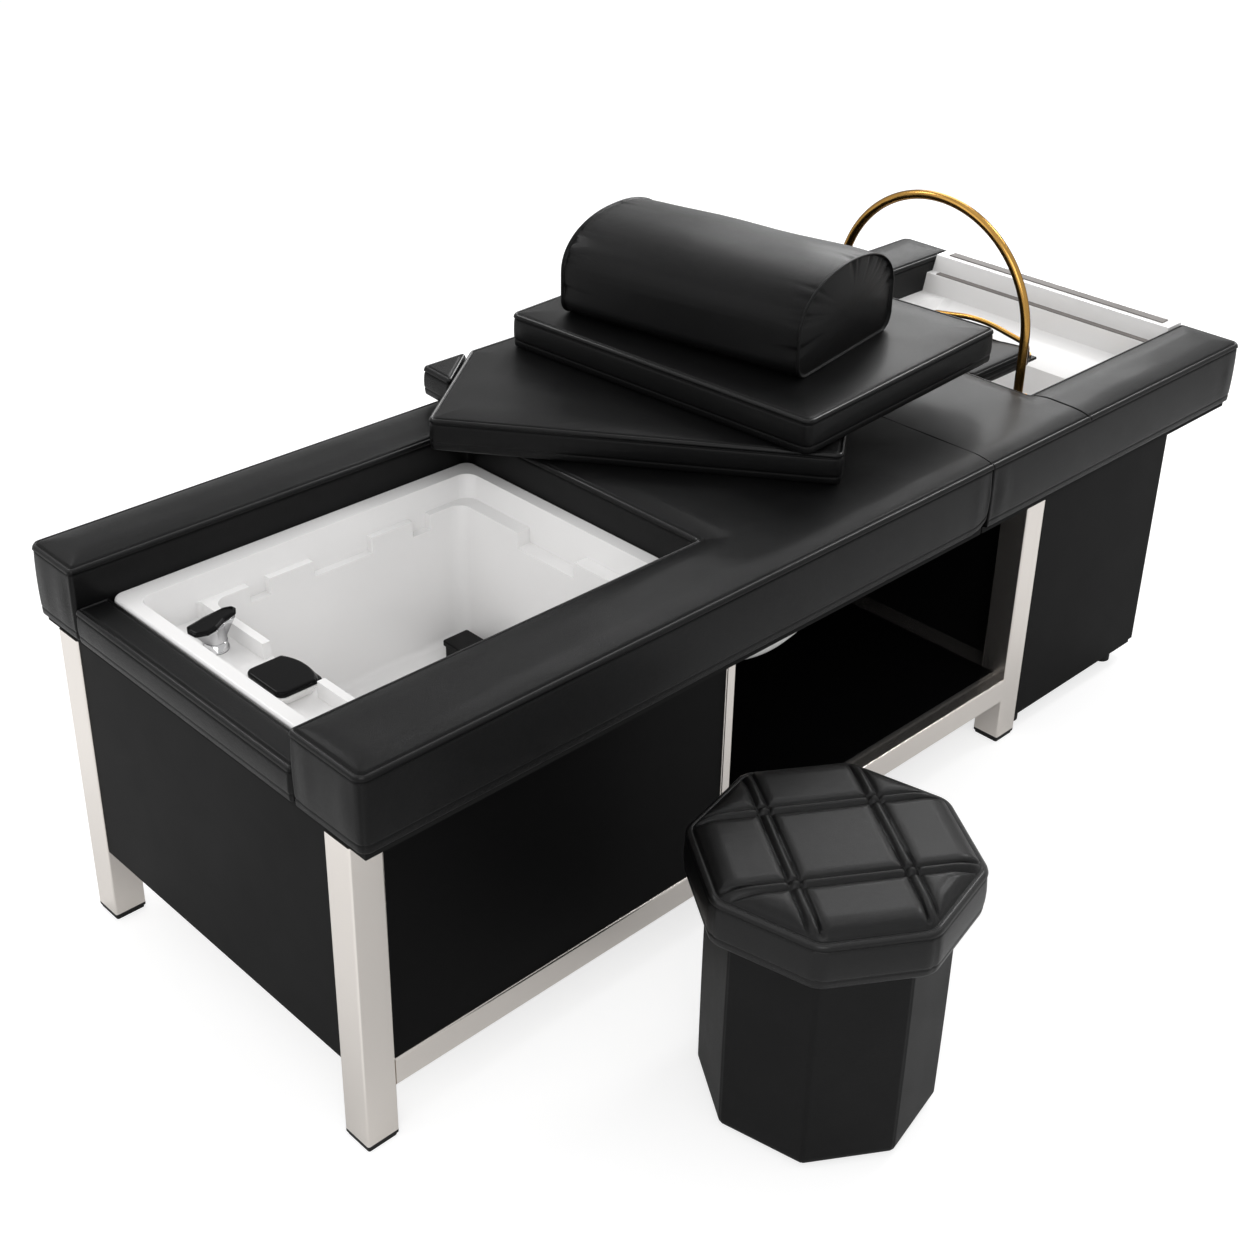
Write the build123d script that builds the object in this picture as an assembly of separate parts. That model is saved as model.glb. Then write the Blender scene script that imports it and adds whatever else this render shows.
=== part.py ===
from build123d import *
import math
import os

# Hair washing bed with a foot bath, a head basin, loose cushions and a matching stool.
# Lengths are in millimetres. The model is built with its corner at the outside of the near
# foot leg: X runs from the foot end to the head end, Y from the near side to the far side and
# Z up from the floor. At the end the whole set is moved so that the origin lies on the floor
# under the middle of its box.

# General clearances
fit_gap = 0.3
cut_overrun = 5

# Steel frame of square tube
basin_leg_setback = 36
frame_width = 670
frame_top = 490
leg_side = 50
tube_wall = 1.5
tube_corner = 3
glide_height = 10
glide_step = 5
glide_inset = 2
glide_plug = 18
low_rail_top = 130
low_rail_height = 44
top_rail_height = 25
mid_post_setback = 33
mid_post_width = 18

# Panels round the bath and the open bay
panel_thickness = 6
panel_setback = 3
shelf_thickness = 6
shelf_setback = 25

# Deck boards under the upholstery
deck_thickness = 12
deck_overhang = 30
deck_setback = 2
head_top_length = 262
head_board_setback = 10

# Upholstery
pad_overhang = 40
foot_overhang = 8
upholstery_length = 1922
pad_side_height = 108
cross_pad_thickness = 54
near_arm_width = 140
near_head_arm_width = 121
far_arm_width = 112
bath_head_face = 678
basin_length = 474
cross_pad_width = 53
cross_pad_corner = 6
cross_pad_crown = 3
pad_corner = 16
pad_crown = 8
pad_crown_reach = 45
pad_edge = 6
pad_draw = 2.5
module_gap = 0.4

# Foot bath
bath_rim_rise = 54
bath_rim_corner = 18
bath_skin = 5
bath_rim_edge = 5
bath_foot_flat = 23
bath_side_flat = 33
bath_head_flat = 26
bath_wall_draft = 8
ledge_depth = 36
ledge_width = 12
slot_depth = 25
bath_depth = 261
foot_deck_length = 125
cavity_corner = 22
cavity_draft = 14
cavity_floor_round = 24
rib_width = 12
rib_gap_width = 124
rib_gap_shift = -8
large_slot_length = 106
small_slot_length = 34
small_slot_spread = 292
head_slot_length = 125
board_clearance = 4

# Tap, waterfall spout and drain box in the bath
tap_setback = 43
tap_side_margin = 127
tap_ring_radius = 17
tap_ring_height = 4
tap_foot_radius = 12
tap_neck_radius = 10
tap_top_radius = 17
tap_body_height = 29
cartridge_radius = 13
cartridge_height = 4
lever_length = 74
lever_wide_radius = 17
lever_narrow_radius = 10
lever_turn = 9
lever_thickness = 9
lever_round = 2.5
lever_tail = 23
spout_setback = 70
spout_width = 86
spout_shift = -26
spout_length = 66
spout_height = 18
spout_taper = 12
spout_mouth = 12
spout_slit_height = 6
spout_roof = 3
spout_corner = 12
spout_cover_thickness = 8
spout_lip_drop = 4
spout_edge = 2
drain_box_length = 50
drain_box_width = 110
drain_box_height = 30
drain_box_margin = 18
drain_box_side_margin = 32
drain_box_round = 4
drain_box_wall = 2.5
drain_lid_height = 9
drain_lid_overhang = 2.5
strainer_radius = 19
strainer_height = 5
waste_radius = 16
waste_length = 45
waste_nut_radius = 24
waste_nut_height = 12

# White drain hose that runs under the deck from the bath to the cabinet
hose_radius = 16
hose_wall = 2.5
hose_side_margin = 90
hose_drop = 54
clip_width = 16
clip_thickness = 3
clip_foot_width = 50
nipple_radius = 20
nipple_length = 24
nipple_shift = 8
nipple_rise = 5

# Shares of the bay's length: how far along, aside and down each inner point of the hose lies,
# how large its bends are and how far along its clips hang
hose_point_shares = ((0.116, 0.145, 0.083), (0.4, 0.157, 0.033), (0.675, 0.0, 0.0))
hose_bend_share = 0.186
clip_place_shares = (0.77, 0.95)

# Cabinet under the basin
cabinet_setback = 132
cabinet_wall = 15
cabinet_foot_height = 36
cabinet_foot_radius = 16
cabinet_foot_inset = 34
door_gap = 2
door_thickness = 14
door_top_gap = 3
hinge_barrel_radius = 3.5
hinge_leaf = 1.5
hinge_leaf_width = 30
hinge_height = 60
hinge_end_gap = 60
hinge_pin_radius = 1.5
hinge_running_gap = 0.05

# Head basin
basin_rim_rise = 48
basin_skin = 6
basin_corner = 14
bowl_foot_margin = 82
bowl_head_margin = 82
bowl_side_margin = 34
bowl_step_depth = 42
bowl_step_length = 75
bowl_depth = 130
bowl_slope_length = 105
bowl_foot_draft = 24
bowl_side_draft = 26
bowl_corner = 46
bowl_floor_round = 22
first_step_rise = 35
second_step_depth = 54
second_step_rise = 30
step_slope = 10
strip_thickness = 2
lower_strip_width = 26
upper_strip_width = 20
strip_end_margin = 20
basin_waste_radius = 30
basin_waste_flange = 3
basin_tail_radius = 20
basin_tail_length = 60

# Neck rest and its bracket
neck_rest_gap = 5
neck_rest_length = 187
neck_rest_side_gap = 63
neck_rest_rise = 25
neck_rest_height = 30
neck_dip = 14
neck_dip_width = 150
neck_rest_corner = 24
neck_rest_round = 6
bracket_gap = 8
bracket_foot = 34
bracket_sheet = 5
bracket_tail = 12
bracket_margin = 16

# Arch pipe and the small spray pipe
arch_setback = 52
arch_foot_margin = 55
arch_leg_height = 103
arch_pipe_radius = 8
arch_pivot_rise = 22
arch_barrel_radius = 10
arch_barrel_half = 9
arch_pin_radius = 3
arch_pin_gap = 0.06
ear_thickness = 4
ear_gap = 0.4
ear_half_width = 9
rosette_radius = 16
rosette_height = 5
spray_gap = 20
spray_end_margin = 15
spray_pipe_radius = 5
spray_shoulder_rise = 22
spray_crown = 19
spray_shoulder_share = 0.5
spray_top_share = 0.4
spray_collar_radius = 9
spray_collar_height = 6

# Loose cushions
cushion_corner = 14
cushion_crown = 5
cushion_crown_reach = 60
cover_thickness = 50
cover_width = 624
cover_depth = 400
cover_cut_side = 124
cover_cut_back = 92
cover_turn = -53.3
cover_corner_setback = 614
cover_corner_margin = 36
square_length = 487
square_width = 588
square_thickness = 55
square_turn = 4
square_setback = 64
square_shift = 72
bolster_length = 480
bolster_width = 240
bolster_side = 42
bolster_height = 144
bolster_turn = 9
bolster_setback = 17
bolster_shift = 41
bolster_base_round = 10
bolster_end_shrink_share = 0.955
bolster_end_reach = 34
corner_pad_thickness = 47
corner_pad_crown = 3
corner_pad_corner = 6
corner_pad_reach = 9
corner_pad_start = 163
corner_pad_span = 112
corner_pad_length = 144
corner_pad_depth = 169

# Stool
stool_x = 516.5
stool_distance = 268.4
stool_phase = 34.6
stool_sides = 8
stool_body_radius = 161
stool_seat_radius = 180
stool_seam_height = 397
stool_band = 68
stool_crown = 14
stool_crown_reach = 46
stool_corner = 5
stool_foot_height = 8
stool_foot_radius = 14
stool_foot_circle = 120
stool_body_edge = 10
channel_width = 4
channel_depth = 3
channel_spacing = 15

# Shares of a pad's crown: how far in from the seam, and how high, each row of the crown lies
crown_rows_share = ((0.0, 0.0), (0.10, 0.40), (0.38, 0.82), (1.0, 1.0))

# Sizes that follow from the ones above
pad_base = frame_top + deck_thickness
pad_seam_height = pad_base + pad_side_height
cross_pad_height = pad_base + cross_pad_thickness
near_edge = -pad_overhang
far_edge = frame_width + pad_overhang
near_inner_face = near_edge + near_arm_width
near_head_face = near_edge + near_head_arm_width
far_inner_face = far_edge - far_arm_width
foot_edge = -foot_overhang
cross_pad_end = foot_edge + cross_pad_width
middle_y = (near_inner_face + far_inner_face) / 2
bed_middle_y = frame_width / 2
basin_foot_face = upholstery_length - basin_length
module_joint = basin_foot_face - head_top_length
frame_length = basin_foot_face - basin_leg_setback
cabinet_end = upholstery_length - cabinet_setback
low_rail_bottom = low_rail_top - low_rail_height
mid_post_start = bath_head_face - mid_post_setback
mid_post_end = mid_post_start + mid_post_width
bay_length = frame_length - leg_side - mid_post_end
bath_rim_height = pad_base + bath_rim_rise
ledge_height = bath_rim_height - ledge_depth
slot_floor_height = ledge_height - slot_depth
cavity_floor_height = bath_rim_height - bath_depth
cavity_start = cross_pad_end + foot_deck_length
tap_x = cavity_start - tap_setback
tap_y = far_inner_face - tap_side_margin
spout_start = cavity_start - spout_setback
spout_centre_y = middle_y + spout_shift
hose_y = near_inner_face + hose_side_margin
hose_height = frame_top - hose_drop
basin_rim_height = pad_base + basin_rim_rise
bowl_start = basin_foot_face + bowl_foot_margin
bowl_end = upholstery_length - bowl_head_margin
bowl_step_height = basin_rim_height - bowl_step_depth
bowl_step_end = bowl_end - bowl_step_length
bowl_floor_height = basin_rim_height - bowl_depth
bowl_floor_end = bowl_end - bowl_slope_length
first_step_height = basin_rim_height + first_step_rise
second_step_start = upholstery_length - second_step_depth
second_step_height = first_step_height + second_step_rise
neck_rest_start = basin_foot_face + neck_rest_gap
neck_rest_end = neck_rest_start + neck_rest_length
neck_rest_base = basin_rim_height + neck_rest_rise
bracket_start = basin_foot_face + bracket_gap
arch_x = basin_foot_face + arch_setback
arch_radius = bed_middle_y - near_head_face - arch_foot_margin
neck_rest_width = 2 * (arch_radius - neck_rest_side_gap)
arch_pivot_height = basin_rim_height + arch_pivot_rise
arch_centre_height = arch_pivot_height + arch_leg_height
spray_x = neck_rest_end + spray_gap
bracket_end = spray_x + bracket_tail
cover_corner_x = module_joint - cover_corner_setback
cover_corner_y = far_inner_face - cover_corner_margin
square_x = module_joint - square_setback
square_y = bed_middle_y + square_shift
bolster_x = square_x - bolster_setback
bolster_y = square_y + bolster_shift
stool_y = near_edge - stool_distance


def block(low, high):
    """A box between two corners."""
    sizes = [high[i] - low[i] for i in range(len(low))]
    middle = [(high[i] + low[i]) / 2 for i in range(len(low))]
    return Pos(*middle) * Box(*sizes)


def rounded_block(low, high, corner):
    """A box between two corners whose upright edges are rounded."""
    outline = RectangleRounded(high[0] - low[0], high[1] - low[1], corner)
    base = Pos((high[0] + low[0]) / 2, (high[1] + low[1]) / 2, low[2]) * outline
    return extrude(base, amount=high[2] - low[2])


def square_tube(low, high, along):
    """A square or flat tube between two corners, open at both ends of its long axis."""
    turns = {"x": Rotation(0, 90, 0), "y": Rotation(-90, 0, 0), "z": Rotation(0, 0, 0)}
    spans = {"x": (2, 1, 0), "y": (0, 2, 1), "z": (0, 1, 2)}
    first, second, third = spans[along]
    size = [high[i] - low[i] for i in range(len(low))]
    outer = RectangleRounded(size[first], size[second], tube_corner)
    bore = RectangleRounded(
        size[first] - 2 * tube_wall, size[second] - 2 * tube_wall, tube_corner - tube_wall
    )
    bar = extrude(outer - bore, amount=size[third] / 2, both=True)
    middle = [(high[i] + low[i]) / 2 for i in range(len(low))]
    return Pos(*middle) * turns[along] * bar


def post(x, y, radius, bottom, top):
    """An upright round bar."""
    return Pos(x, y, (bottom + top) / 2) * Cylinder(radius, top - bottom)


def inset_outline(points, inset, corner):
    """Move each side of a closed outline inwards and round its corners.

    The points go round against the clock. Outer corners keep what is left of the corner
    radius, inner corners grow by the inset.
    """
    count = len(points)
    moved = []
    radii = []
    for i in range(count):
        before = Vector(*points[i - 1])
        here = Vector(*points[i])
        after = Vector(*points[(i + 1) % count])
        first = (here - before).normalized()
        second = (after - here).normalized()
        first_normal = Vector(-first.Y, first.X)
        second_normal = Vector(-second.Y, second.X)
        turn = first.X * second.Y - first.Y * second.X
        bend = 1 + first_normal.dot(second_normal)
        moved.append(here + (first_normal + second_normal) * (inset / bend))
        if turn > 0:
            radii.append(max(corner - inset, corner / 4))
        else:
            radii.append(corner / 2 + inset)
    return moved, radii


def outline_face(points, inset, corner, height):
    """A flat face inside an inset outline, at a height."""
    moved, radii = inset_outline(points, inset, corner)
    flat = [(p.X, p.Y) for p in moved]
    wire = FilletPolyline(*flat, radius=radii, close=True)
    return Pos(0, 0, height) * make_face(wire)


def pad(points, base, seam, corner, crown, reach, edge=pad_edge, draw=pad_draw):
    """An upholstered pad with drawn-in seams, sides that swell a little and a crowned top."""
    rows = [
        (draw + edge / 2, base),
        (draw, base + edge),
        (0, base + (seam - base) / 2),
        (draw, seam),
    ]
    for inset_share, height_share in crown_rows_share[1:]:
        rows.append((draw + inset_share * reach, seam + height_share * crown))
    faces = [outline_face(points, inset, corner, height) for inset, height in rows]
    return loft(faces, ruled=True)


def lofted(rows, corner):
    """A straight-sided hollow or body through upright rows of rectangles."""
    faces = []
    for x0, x1, y0, y1, height in rows:
        outline = RectangleRounded(x1 - x0, y1 - y0, corner)
        faces.append(Pos((x0 + x1) / 2, (y0 + y1) / 2, height) * outline)
    return loft(faces, ruled=True)


def tube_along(path, radius, wall):
    """A round tube along a path."""
    start = Plane(origin=path @ 0, z_dir=path % 0)
    ring = start * (Circle(radius) - Circle(radius - wall))
    return sweep(ring, path=path)


# Steel frame


def legs():
    """Four square legs, with two-tier glides plugged into their lower ends."""
    made = {}
    for end, x in (("foot", 0), ("head", frame_length - leg_side)):
        for side, y in (("near", 0), ("far", frame_width - leg_side)):
            low = (x, y, glide_height)
            high = (x + leg_side, y + leg_side, frame_top)
            made[f"leg_{end}_{side}"] = square_tube(low, high, "z")
            made[f"glide_{end}_{side}"] = glide(x, y)
    return made


def glide(x, y):
    """A black foot: a wide pad, a narrower step and a plug inside the tube."""
    wide = rounded_block(
        (x, y, glide_step), (x + leg_side, y + leg_side, glide_height), tube_corner
    )
    tread = rounded_block(
        (x + glide_inset, y + glide_inset, 0),
        (x + leg_side - glide_inset, y + leg_side - glide_inset, glide_step),
        tube_corner,
    )
    bore = tube_wall + fit_gap
    plug = rounded_block(
        (x + bore, y + bore, glide_height),
        (x + leg_side - bore, y + leg_side - bore, glide_height + glide_plug),
        tube_corner - tube_wall,
    )
    return wide + tread + plug


def rails():
    """Low rails near the floor and flat rails under the deck boards."""
    inner = leg_side
    head = frame_length - leg_side
    far = frame_width - leg_side
    top_low = frame_top - top_rail_height
    hidden_low = low_rail_top
    hidden_high = low_rail_top + low_rail_height
    hidden_start = panel_setback + panel_thickness
    return {
        "low_rail_near": square_tube((inner, 0, low_rail_bottom), (head, leg_side, low_rail_top), "x"),
        "low_rail_far": square_tube(
            (inner, far, low_rail_bottom), (head, frame_width, low_rail_top), "x"
        ),
        "low_rail_foot": square_tube(
            (hidden_start, inner, hidden_low), (leg_side, far, hidden_high), "y"
        ),
        "low_rail_head": square_tube(
            (head, inner, low_rail_bottom), (frame_length, far, low_rail_top), "y"
        ),
        "top_rail_near": square_tube((inner, 0, top_low), (head, leg_side, frame_top), "x"),
        "top_rail_far": square_tube((inner, far, top_low), (head, frame_width, frame_top), "x"),
        "top_rail_foot": square_tube((hidden_start, inner, top_low), (leg_side, far, frame_top), "y"),
        "top_rail_head": square_tube((head, inner, top_low), (frame_length, far, frame_top), "y"),
    }


def mid_posts():
    """Slim posts between the bath end and the open bay."""
    made = {}
    top = frame_top - top_rail_height
    for side, y in (("near", 0), ("far", frame_width - leg_side)):
        low = (mid_post_start, y, low_rail_top)
        high = (mid_post_end, y + leg_side, top)
        made[f"mid_post_{side}"] = square_tube(low, high, "z")
    return made


def panels():
    """Black sheet panels that close the bath end and the far side of the bay."""
    top = frame_top - top_rail_height - fit_gap
    far = frame_width - leg_side
    foot = block(
        (panel_setback, leg_side, low_rail_top - glide_inset),
        (panel_setback + panel_thickness, far, frame_top),
    )
    near = block(
        (leg_side, panel_setback, low_rail_top),
        (mid_post_start, panel_setback + panel_thickness, top),
    )
    far_panel = block(
        (leg_side, frame_width - panel_setback - panel_thickness, low_rail_top),
        (mid_post_start, frame_width - panel_setback, top),
    )
    bay_back = block(
        (mid_post_end, frame_width - panel_setback - panel_thickness, low_rail_top),
        (frame_length - leg_side, frame_width - panel_setback, top),
    )
    return {
        "foot_panel": foot,
        "side_panel_near": near,
        "side_panel_far": far_panel,
        "bay_back_panel": bay_back,
    }


def bay_partition():
    """Board between the bath and the bay, notched round the bath and holed for the hose's nipple."""
    board = block(
        (mid_post_start, leg_side, low_rail_top),
        (mid_post_end, frame_width - leg_side, frame_top),
    )
    root = nipple_place()
    bend = hose_bends()[0]
    hole = Plane(origin=root, z_dir=bend - root) * Cylinder(
        nipple_radius + board_clearance, 2 * (bend - root).length
    )
    return board - hole - bath_outside()


def storage_shelf():
    """Glossy shelf that lies on the low rails in the open bay."""
    far = frame_width - panel_setback - panel_thickness
    return block(
        (mid_post_end, shelf_setback, low_rail_top),
        (frame_length - leg_side, far, low_rail_top + shelf_thickness),
    )


# Upholstery


def foot_deck_board():
    """Board under the foot module, cut out for the bath."""
    board = block(
        (deck_setback, -deck_overhang, frame_top),
        (module_joint - deck_setback, frame_width + deck_overhang, pad_base),
    )
    margin = bath_skin + bath_wall_draft + board_clearance
    hole = block(
        (cross_pad_end + bath_foot_flat - margin, near_inner_face + bath_side_flat - margin, frame_top),
        (bath_head_face - bath_head_flat + margin, far_inner_face - bath_side_flat + margin, pad_base),
    )
    return board - hole


def head_deck_board():
    """Board under the head module, cut out for the bowl."""
    board = block(
        (module_joint + deck_setback, -deck_overhang, frame_top),
        (upholstery_length - head_board_setback, frame_width + deck_overhang, pad_base),
    )
    margin = basin_skin + board_clearance
    hole = block(
        (bowl_start - margin, near_head_face + bowl_side_margin - margin, frame_top),
        (bowl_step_end + margin, far_inner_face - bowl_side_margin + margin, pad_base),
    )
    return board - hole


def foot_module_pad():
    """Main top and both foot arms as one upholstered piece round the bath."""
    points = [
        (foot_edge, near_edge),
        (module_joint - module_gap / 2, near_edge),
        (module_joint - module_gap / 2, far_edge),
        (foot_edge, far_edge),
        (foot_edge, far_inner_face),
        (bath_head_face, far_inner_face),
        (bath_head_face, near_inner_face),
        (foot_edge, near_inner_face),
    ]
    return pad(points, pad_base, pad_seam_height, pad_corner, pad_crown, pad_crown_reach)


def head_module_pad():
    """Head part of the top and both head arms as one upholstered piece round the basin."""
    points = [
        (module_joint + module_gap / 2, near_edge),
        (upholstery_length, near_edge),
        (upholstery_length, near_head_face),
        (basin_foot_face, near_head_face),
        (basin_foot_face, far_inner_face),
        (upholstery_length, far_inner_face),
        (upholstery_length, far_edge),
        (module_joint + module_gap / 2, far_edge),
    ]
    return pad(points, pad_base, pad_seam_height, pad_corner, pad_crown, pad_crown_reach)


def cross_pad():
    """Lower pad across the foot end, level with the bath's rim."""
    points = [
        (foot_edge, near_inner_face + fit_gap),
        (cross_pad_end, near_inner_face + fit_gap),
        (cross_pad_end, far_inner_face - fit_gap),
        (foot_edge, far_inner_face - fit_gap),
    ]
    seam = cross_pad_height - cross_pad_crown
    return pad(points, pad_base, seam, cross_pad_corner, cross_pad_crown, cross_pad_width / 3)


# Foot bath


bath_x0 = cross_pad_end + fit_gap
bath_x1 = bath_head_face - fit_gap
bath_y0 = near_inner_face + fit_gap
bath_y1 = far_inner_face - fit_gap
mouth_x0 = cross_pad_end + bath_foot_flat
mouth_x1 = bath_head_face - bath_head_flat
mouth_y0 = near_inner_face + bath_side_flat
mouth_y1 = far_inner_face - bath_side_flat
ledge_x0 = mouth_x0 + bath_wall_draft
ledge_x1 = mouth_x1 - bath_wall_draft
ledge_y0 = mouth_y0 + bath_wall_draft
ledge_y1 = mouth_y1 - bath_wall_draft
cavity_x1 = ledge_x1 - 2 * ledge_width
cavity_y0 = ledge_y0 + ledge_width
cavity_y1 = ledge_y1 - ledge_width
cavity_middle_x = (cavity_start + cavity_x1) / 2


def bath_rim():
    """Rolled rim: an upright skirt that stands on the deck board, closed at the top."""
    skirt = rounded_block(
        (bath_x0, bath_y0, pad_base), (bath_x1, bath_y1, bath_rim_height), bath_rim_corner
    )
    skirt = fillet(skirt.faces().sort_by(Axis.Z)[-1].edges(), bath_rim_edge)
    pocket = rounded_block(
        (bath_x0 + bath_skin, bath_y0 + bath_skin, pad_base),
        (bath_x1 - bath_skin, bath_y1 - bath_skin, bath_rim_height - bath_skin),
        bath_rim_corner - bath_skin,
    )
    return skirt - pocket


def bath_outside():
    """Outside of the bath below its rim: the shallow deck and the deep well."""
    skin = bath_skin
    deck_bottom = slot_floor_height - skin
    upper = lofted(
        [
            (ledge_x0 - skin, ledge_x1 + skin, ledge_y0 - skin, ledge_y1 + skin, deck_bottom),
            (mouth_x0 - skin, mouth_x1 + skin, mouth_y0 - skin, mouth_y1 + skin, bath_rim_height - skin),
        ],
        cavity_corner + skin,
    )
    well = lofted(
        [
            (
                cavity_start + cavity_draft - skin,
                cavity_x1 - cavity_draft + skin,
                cavity_y0 + cavity_draft - skin,
                cavity_y1 - cavity_draft + skin,
                cavity_floor_height - skin,
            ),
            (
                cavity_start - skin,
                cavity_x1 + skin,
                cavity_y0 - skin,
                cavity_y1 + skin,
                deck_bottom + skin,
            ),
        ],
        cavity_corner + skin,
    )
    return upper + well


def bath_mouth():
    """Hollow between the rim and the ledge."""
    return lofted(
        [
            (ledge_x0, ledge_x1, ledge_y0, ledge_y1, ledge_height),
            (mouth_x0, mouth_x1, mouth_y0, mouth_y1, bath_rim_height),
        ],
        cavity_corner,
    )


def bath_well():
    """Deep hollow with drafted walls and a rounded floor."""
    well = lofted(
        [
            (
                cavity_start + cavity_draft,
                cavity_x1 - cavity_draft,
                cavity_y0 + cavity_draft,
                cavity_y1 - cavity_draft,
                cavity_floor_height,
            ),
            (cavity_start, cavity_x1, cavity_y0, cavity_y1, ledge_height + cut_overrun),
        ],
        cavity_corner,
    )
    return fillet(well.faces().sort_by(Axis.Z)[0].edges(), cavity_floor_round / 2)


def ledge_slots():
    """Slots in the ledge that take a rack: small, large and small on both long sides, one at the head."""
    small_places = (cavity_middle_x - small_slot_spread / 2, cavity_middle_x + small_slot_spread / 2)
    places = [(cavity_middle_x, large_slot_length)]
    for place in small_places:
        places.append((place, small_slot_length))
    top = ledge_height + cut_overrun
    slots = []
    for place, length in places:
        x0 = place - length / 2
        x1 = place + length / 2
        slots.append(
            block((x0, ledge_y0, slot_floor_height), (x1, cavity_y0 + ledge_width, top))
        )
        slots.append(
            block((x0, cavity_y1 - ledge_width, slot_floor_height), (x1, ledge_y1, top))
        )
    slots.append(
        block(
            (cavity_x1 - ledge_width, middle_y - head_slot_length / 2, slot_floor_height),
            (ledge_x1, middle_y + head_slot_length / 2, top),
        )
    )
    return slots


def bath_deck():
    """Shallow deck at the foot end, behind a rib with a gap for the waterfall spout."""
    top = ledge_height + cut_overrun
    recess = rounded_block(
        (ledge_x0, ledge_y0, slot_floor_height),
        (cavity_start - rib_width, ledge_y1, top),
        bath_wall_draft,
    )
    gap_middle = middle_y + rib_gap_shift
    gap = block(
        (cavity_start - 2 * rib_width, gap_middle - rib_gap_width / 2, slot_floor_height),
        (cavity_start + 2 * rib_width, gap_middle + rib_gap_width / 2, top),
    )
    return [recess, gap]


def foot_bath():
    """The moulded foot bath with its drain hole."""
    body = bath_rim() + bath_outside()
    body = body - bath_mouth() - bath_well()
    for cut in ledge_slots() + bath_deck():
        body = body - cut
    waste_x, waste_y = drain_place()
    low = cavity_floor_height - 2 * bath_skin
    high = cavity_floor_height + cut_overrun
    return body - post(waste_x, waste_y, waste_radius + fit_gap, low, high)


def drain_place():
    """Centre of the drain, in the well's far corner at the head side."""
    x = cavity_x1 - cavity_draft - drain_box_margin - drain_box_length / 2
    y = cavity_y1 - cavity_draft - drain_box_side_margin - drain_box_width / 2
    return x, y


def bath_waste():
    """Strainer flange on the floor of the well, its tail and the nut under the floor."""
    x, y = drain_place()
    flange = post(x, y, strainer_radius, cavity_floor_height, cavity_floor_height + strainer_height)
    under = cavity_floor_height - bath_skin
    tail = post(x, y, waste_radius, under - waste_length, cavity_floor_height)
    nut = post(x, y, waste_nut_radius, under - waste_nut_height, under)
    bore = post(
        x, y, waste_radius - bath_skin, under - waste_length, cavity_floor_height + strainer_height
    )
    return flange + tail + nut - bore


def drain_cover():
    """Black box that lifts off the drain, with a lid that stands out over its sides."""
    x, y = drain_place()
    base = cavity_floor_height + fit_gap
    top = base + drain_box_height
    half_x = drain_box_length / 2
    half_y = drain_box_width / 2
    lid = rounded_block(
        (x - half_x, y - half_y, top - drain_lid_height), (x + half_x, y + half_y, top), drain_box_round
    )
    lid = fillet(lid.faces().sort_by(Axis.Z)[-1].edges(), drain_box_round / 2)
    half_x = half_x - drain_lid_overhang
    half_y = half_y - drain_lid_overhang
    shell = rounded_block(
        (x - half_x, y - half_y, base), (x + half_x, y + half_y, top - drain_box_wall), drain_box_round
    )
    half_x = half_x - drain_box_wall
    half_y = half_y - drain_box_wall
    room = rounded_block(
        (x - half_x, y - half_y, base),
        (x + half_x, y + half_y, top - 2 * drain_box_wall),
        drain_box_round - drain_box_wall,
    )
    return lid + shell - room


# Tap and spout


def tap_body():
    """Tap body, waisted and flaring to its top, on its base ring."""
    base = slot_floor_height + tap_ring_height
    top = base + tap_body_height
    waist = base + tap_body_height / 3
    profile = make_face(
        Polyline(
            (0, base),
            (tap_foot_radius, base),
            (tap_neck_radius, waist),
            (tap_top_radius, top),
            (0, top),
            (0, base),
        )
    )
    body = revolve(Plane.XZ * profile, axis=Axis.Z)
    ring = post(tap_x, tap_y, tap_ring_radius, slot_floor_height, base)
    return ring + Pos(tap_x, tap_y, 0) * body


def tap_cartridge():
    """Short stub that turns in the tap body and carries the lever."""
    bottom = slot_floor_height + tap_ring_height + tap_body_height + fit_gap
    return post(tap_x, tap_y, cartridge_radius, bottom, bottom + cartridge_height)


def tap_lever():
    """Flat teardrop lever, wide over the tap and narrow towards the well."""
    bottom = slot_floor_height + tap_ring_height + tap_body_height + cartridge_height + 2 * fit_gap
    wide_x = lever_wide_radius - lever_length / 2
    narrow_x = lever_length / 2 - lever_narrow_radius
    outline = make_hull(
        (Pos(wide_x, 0) * Circle(lever_wide_radius)).edges()
        + (Pos(narrow_x, 0) * Circle(lever_narrow_radius)).edges()
    )
    shift = lever_tail + lever_wide_radius - lever_length / 2
    blade = extrude(outline, amount=lever_thickness)
    blade = fillet(blade.faces().sort_by(Axis.Z)[-1].edges(), lever_round)
    return Pos(tap_x, tap_y, bottom) * Rotation(0, 0, lever_turn) * Pos(-shift / 2, 0, 0) * blade


def spout_body():
    """White waterfall spout on the deck, in the gap of the rib, narrower at its foot."""
    base = slot_floor_height
    top = base + spout_height
    x0 = spout_start
    x1 = spout_start + spout_length
    y0 = spout_centre_y - spout_width / 2
    y1 = spout_centre_y + spout_width / 2
    rows = [
        (x0 + spout_taper, x1, y0 + spout_taper, y1 - spout_taper, base),
        (x0, x1, y0, y1, top),
    ]
    body = lofted(rows, spout_corner)
    slit_top = top - spout_roof
    mouth = block(
        (x1 - spout_mouth, y0 + spout_corner, slit_top - spout_slit_height),
        (x1 + cut_overrun, y1 - spout_corner, slit_top),
    )
    return body - mouth


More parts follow.
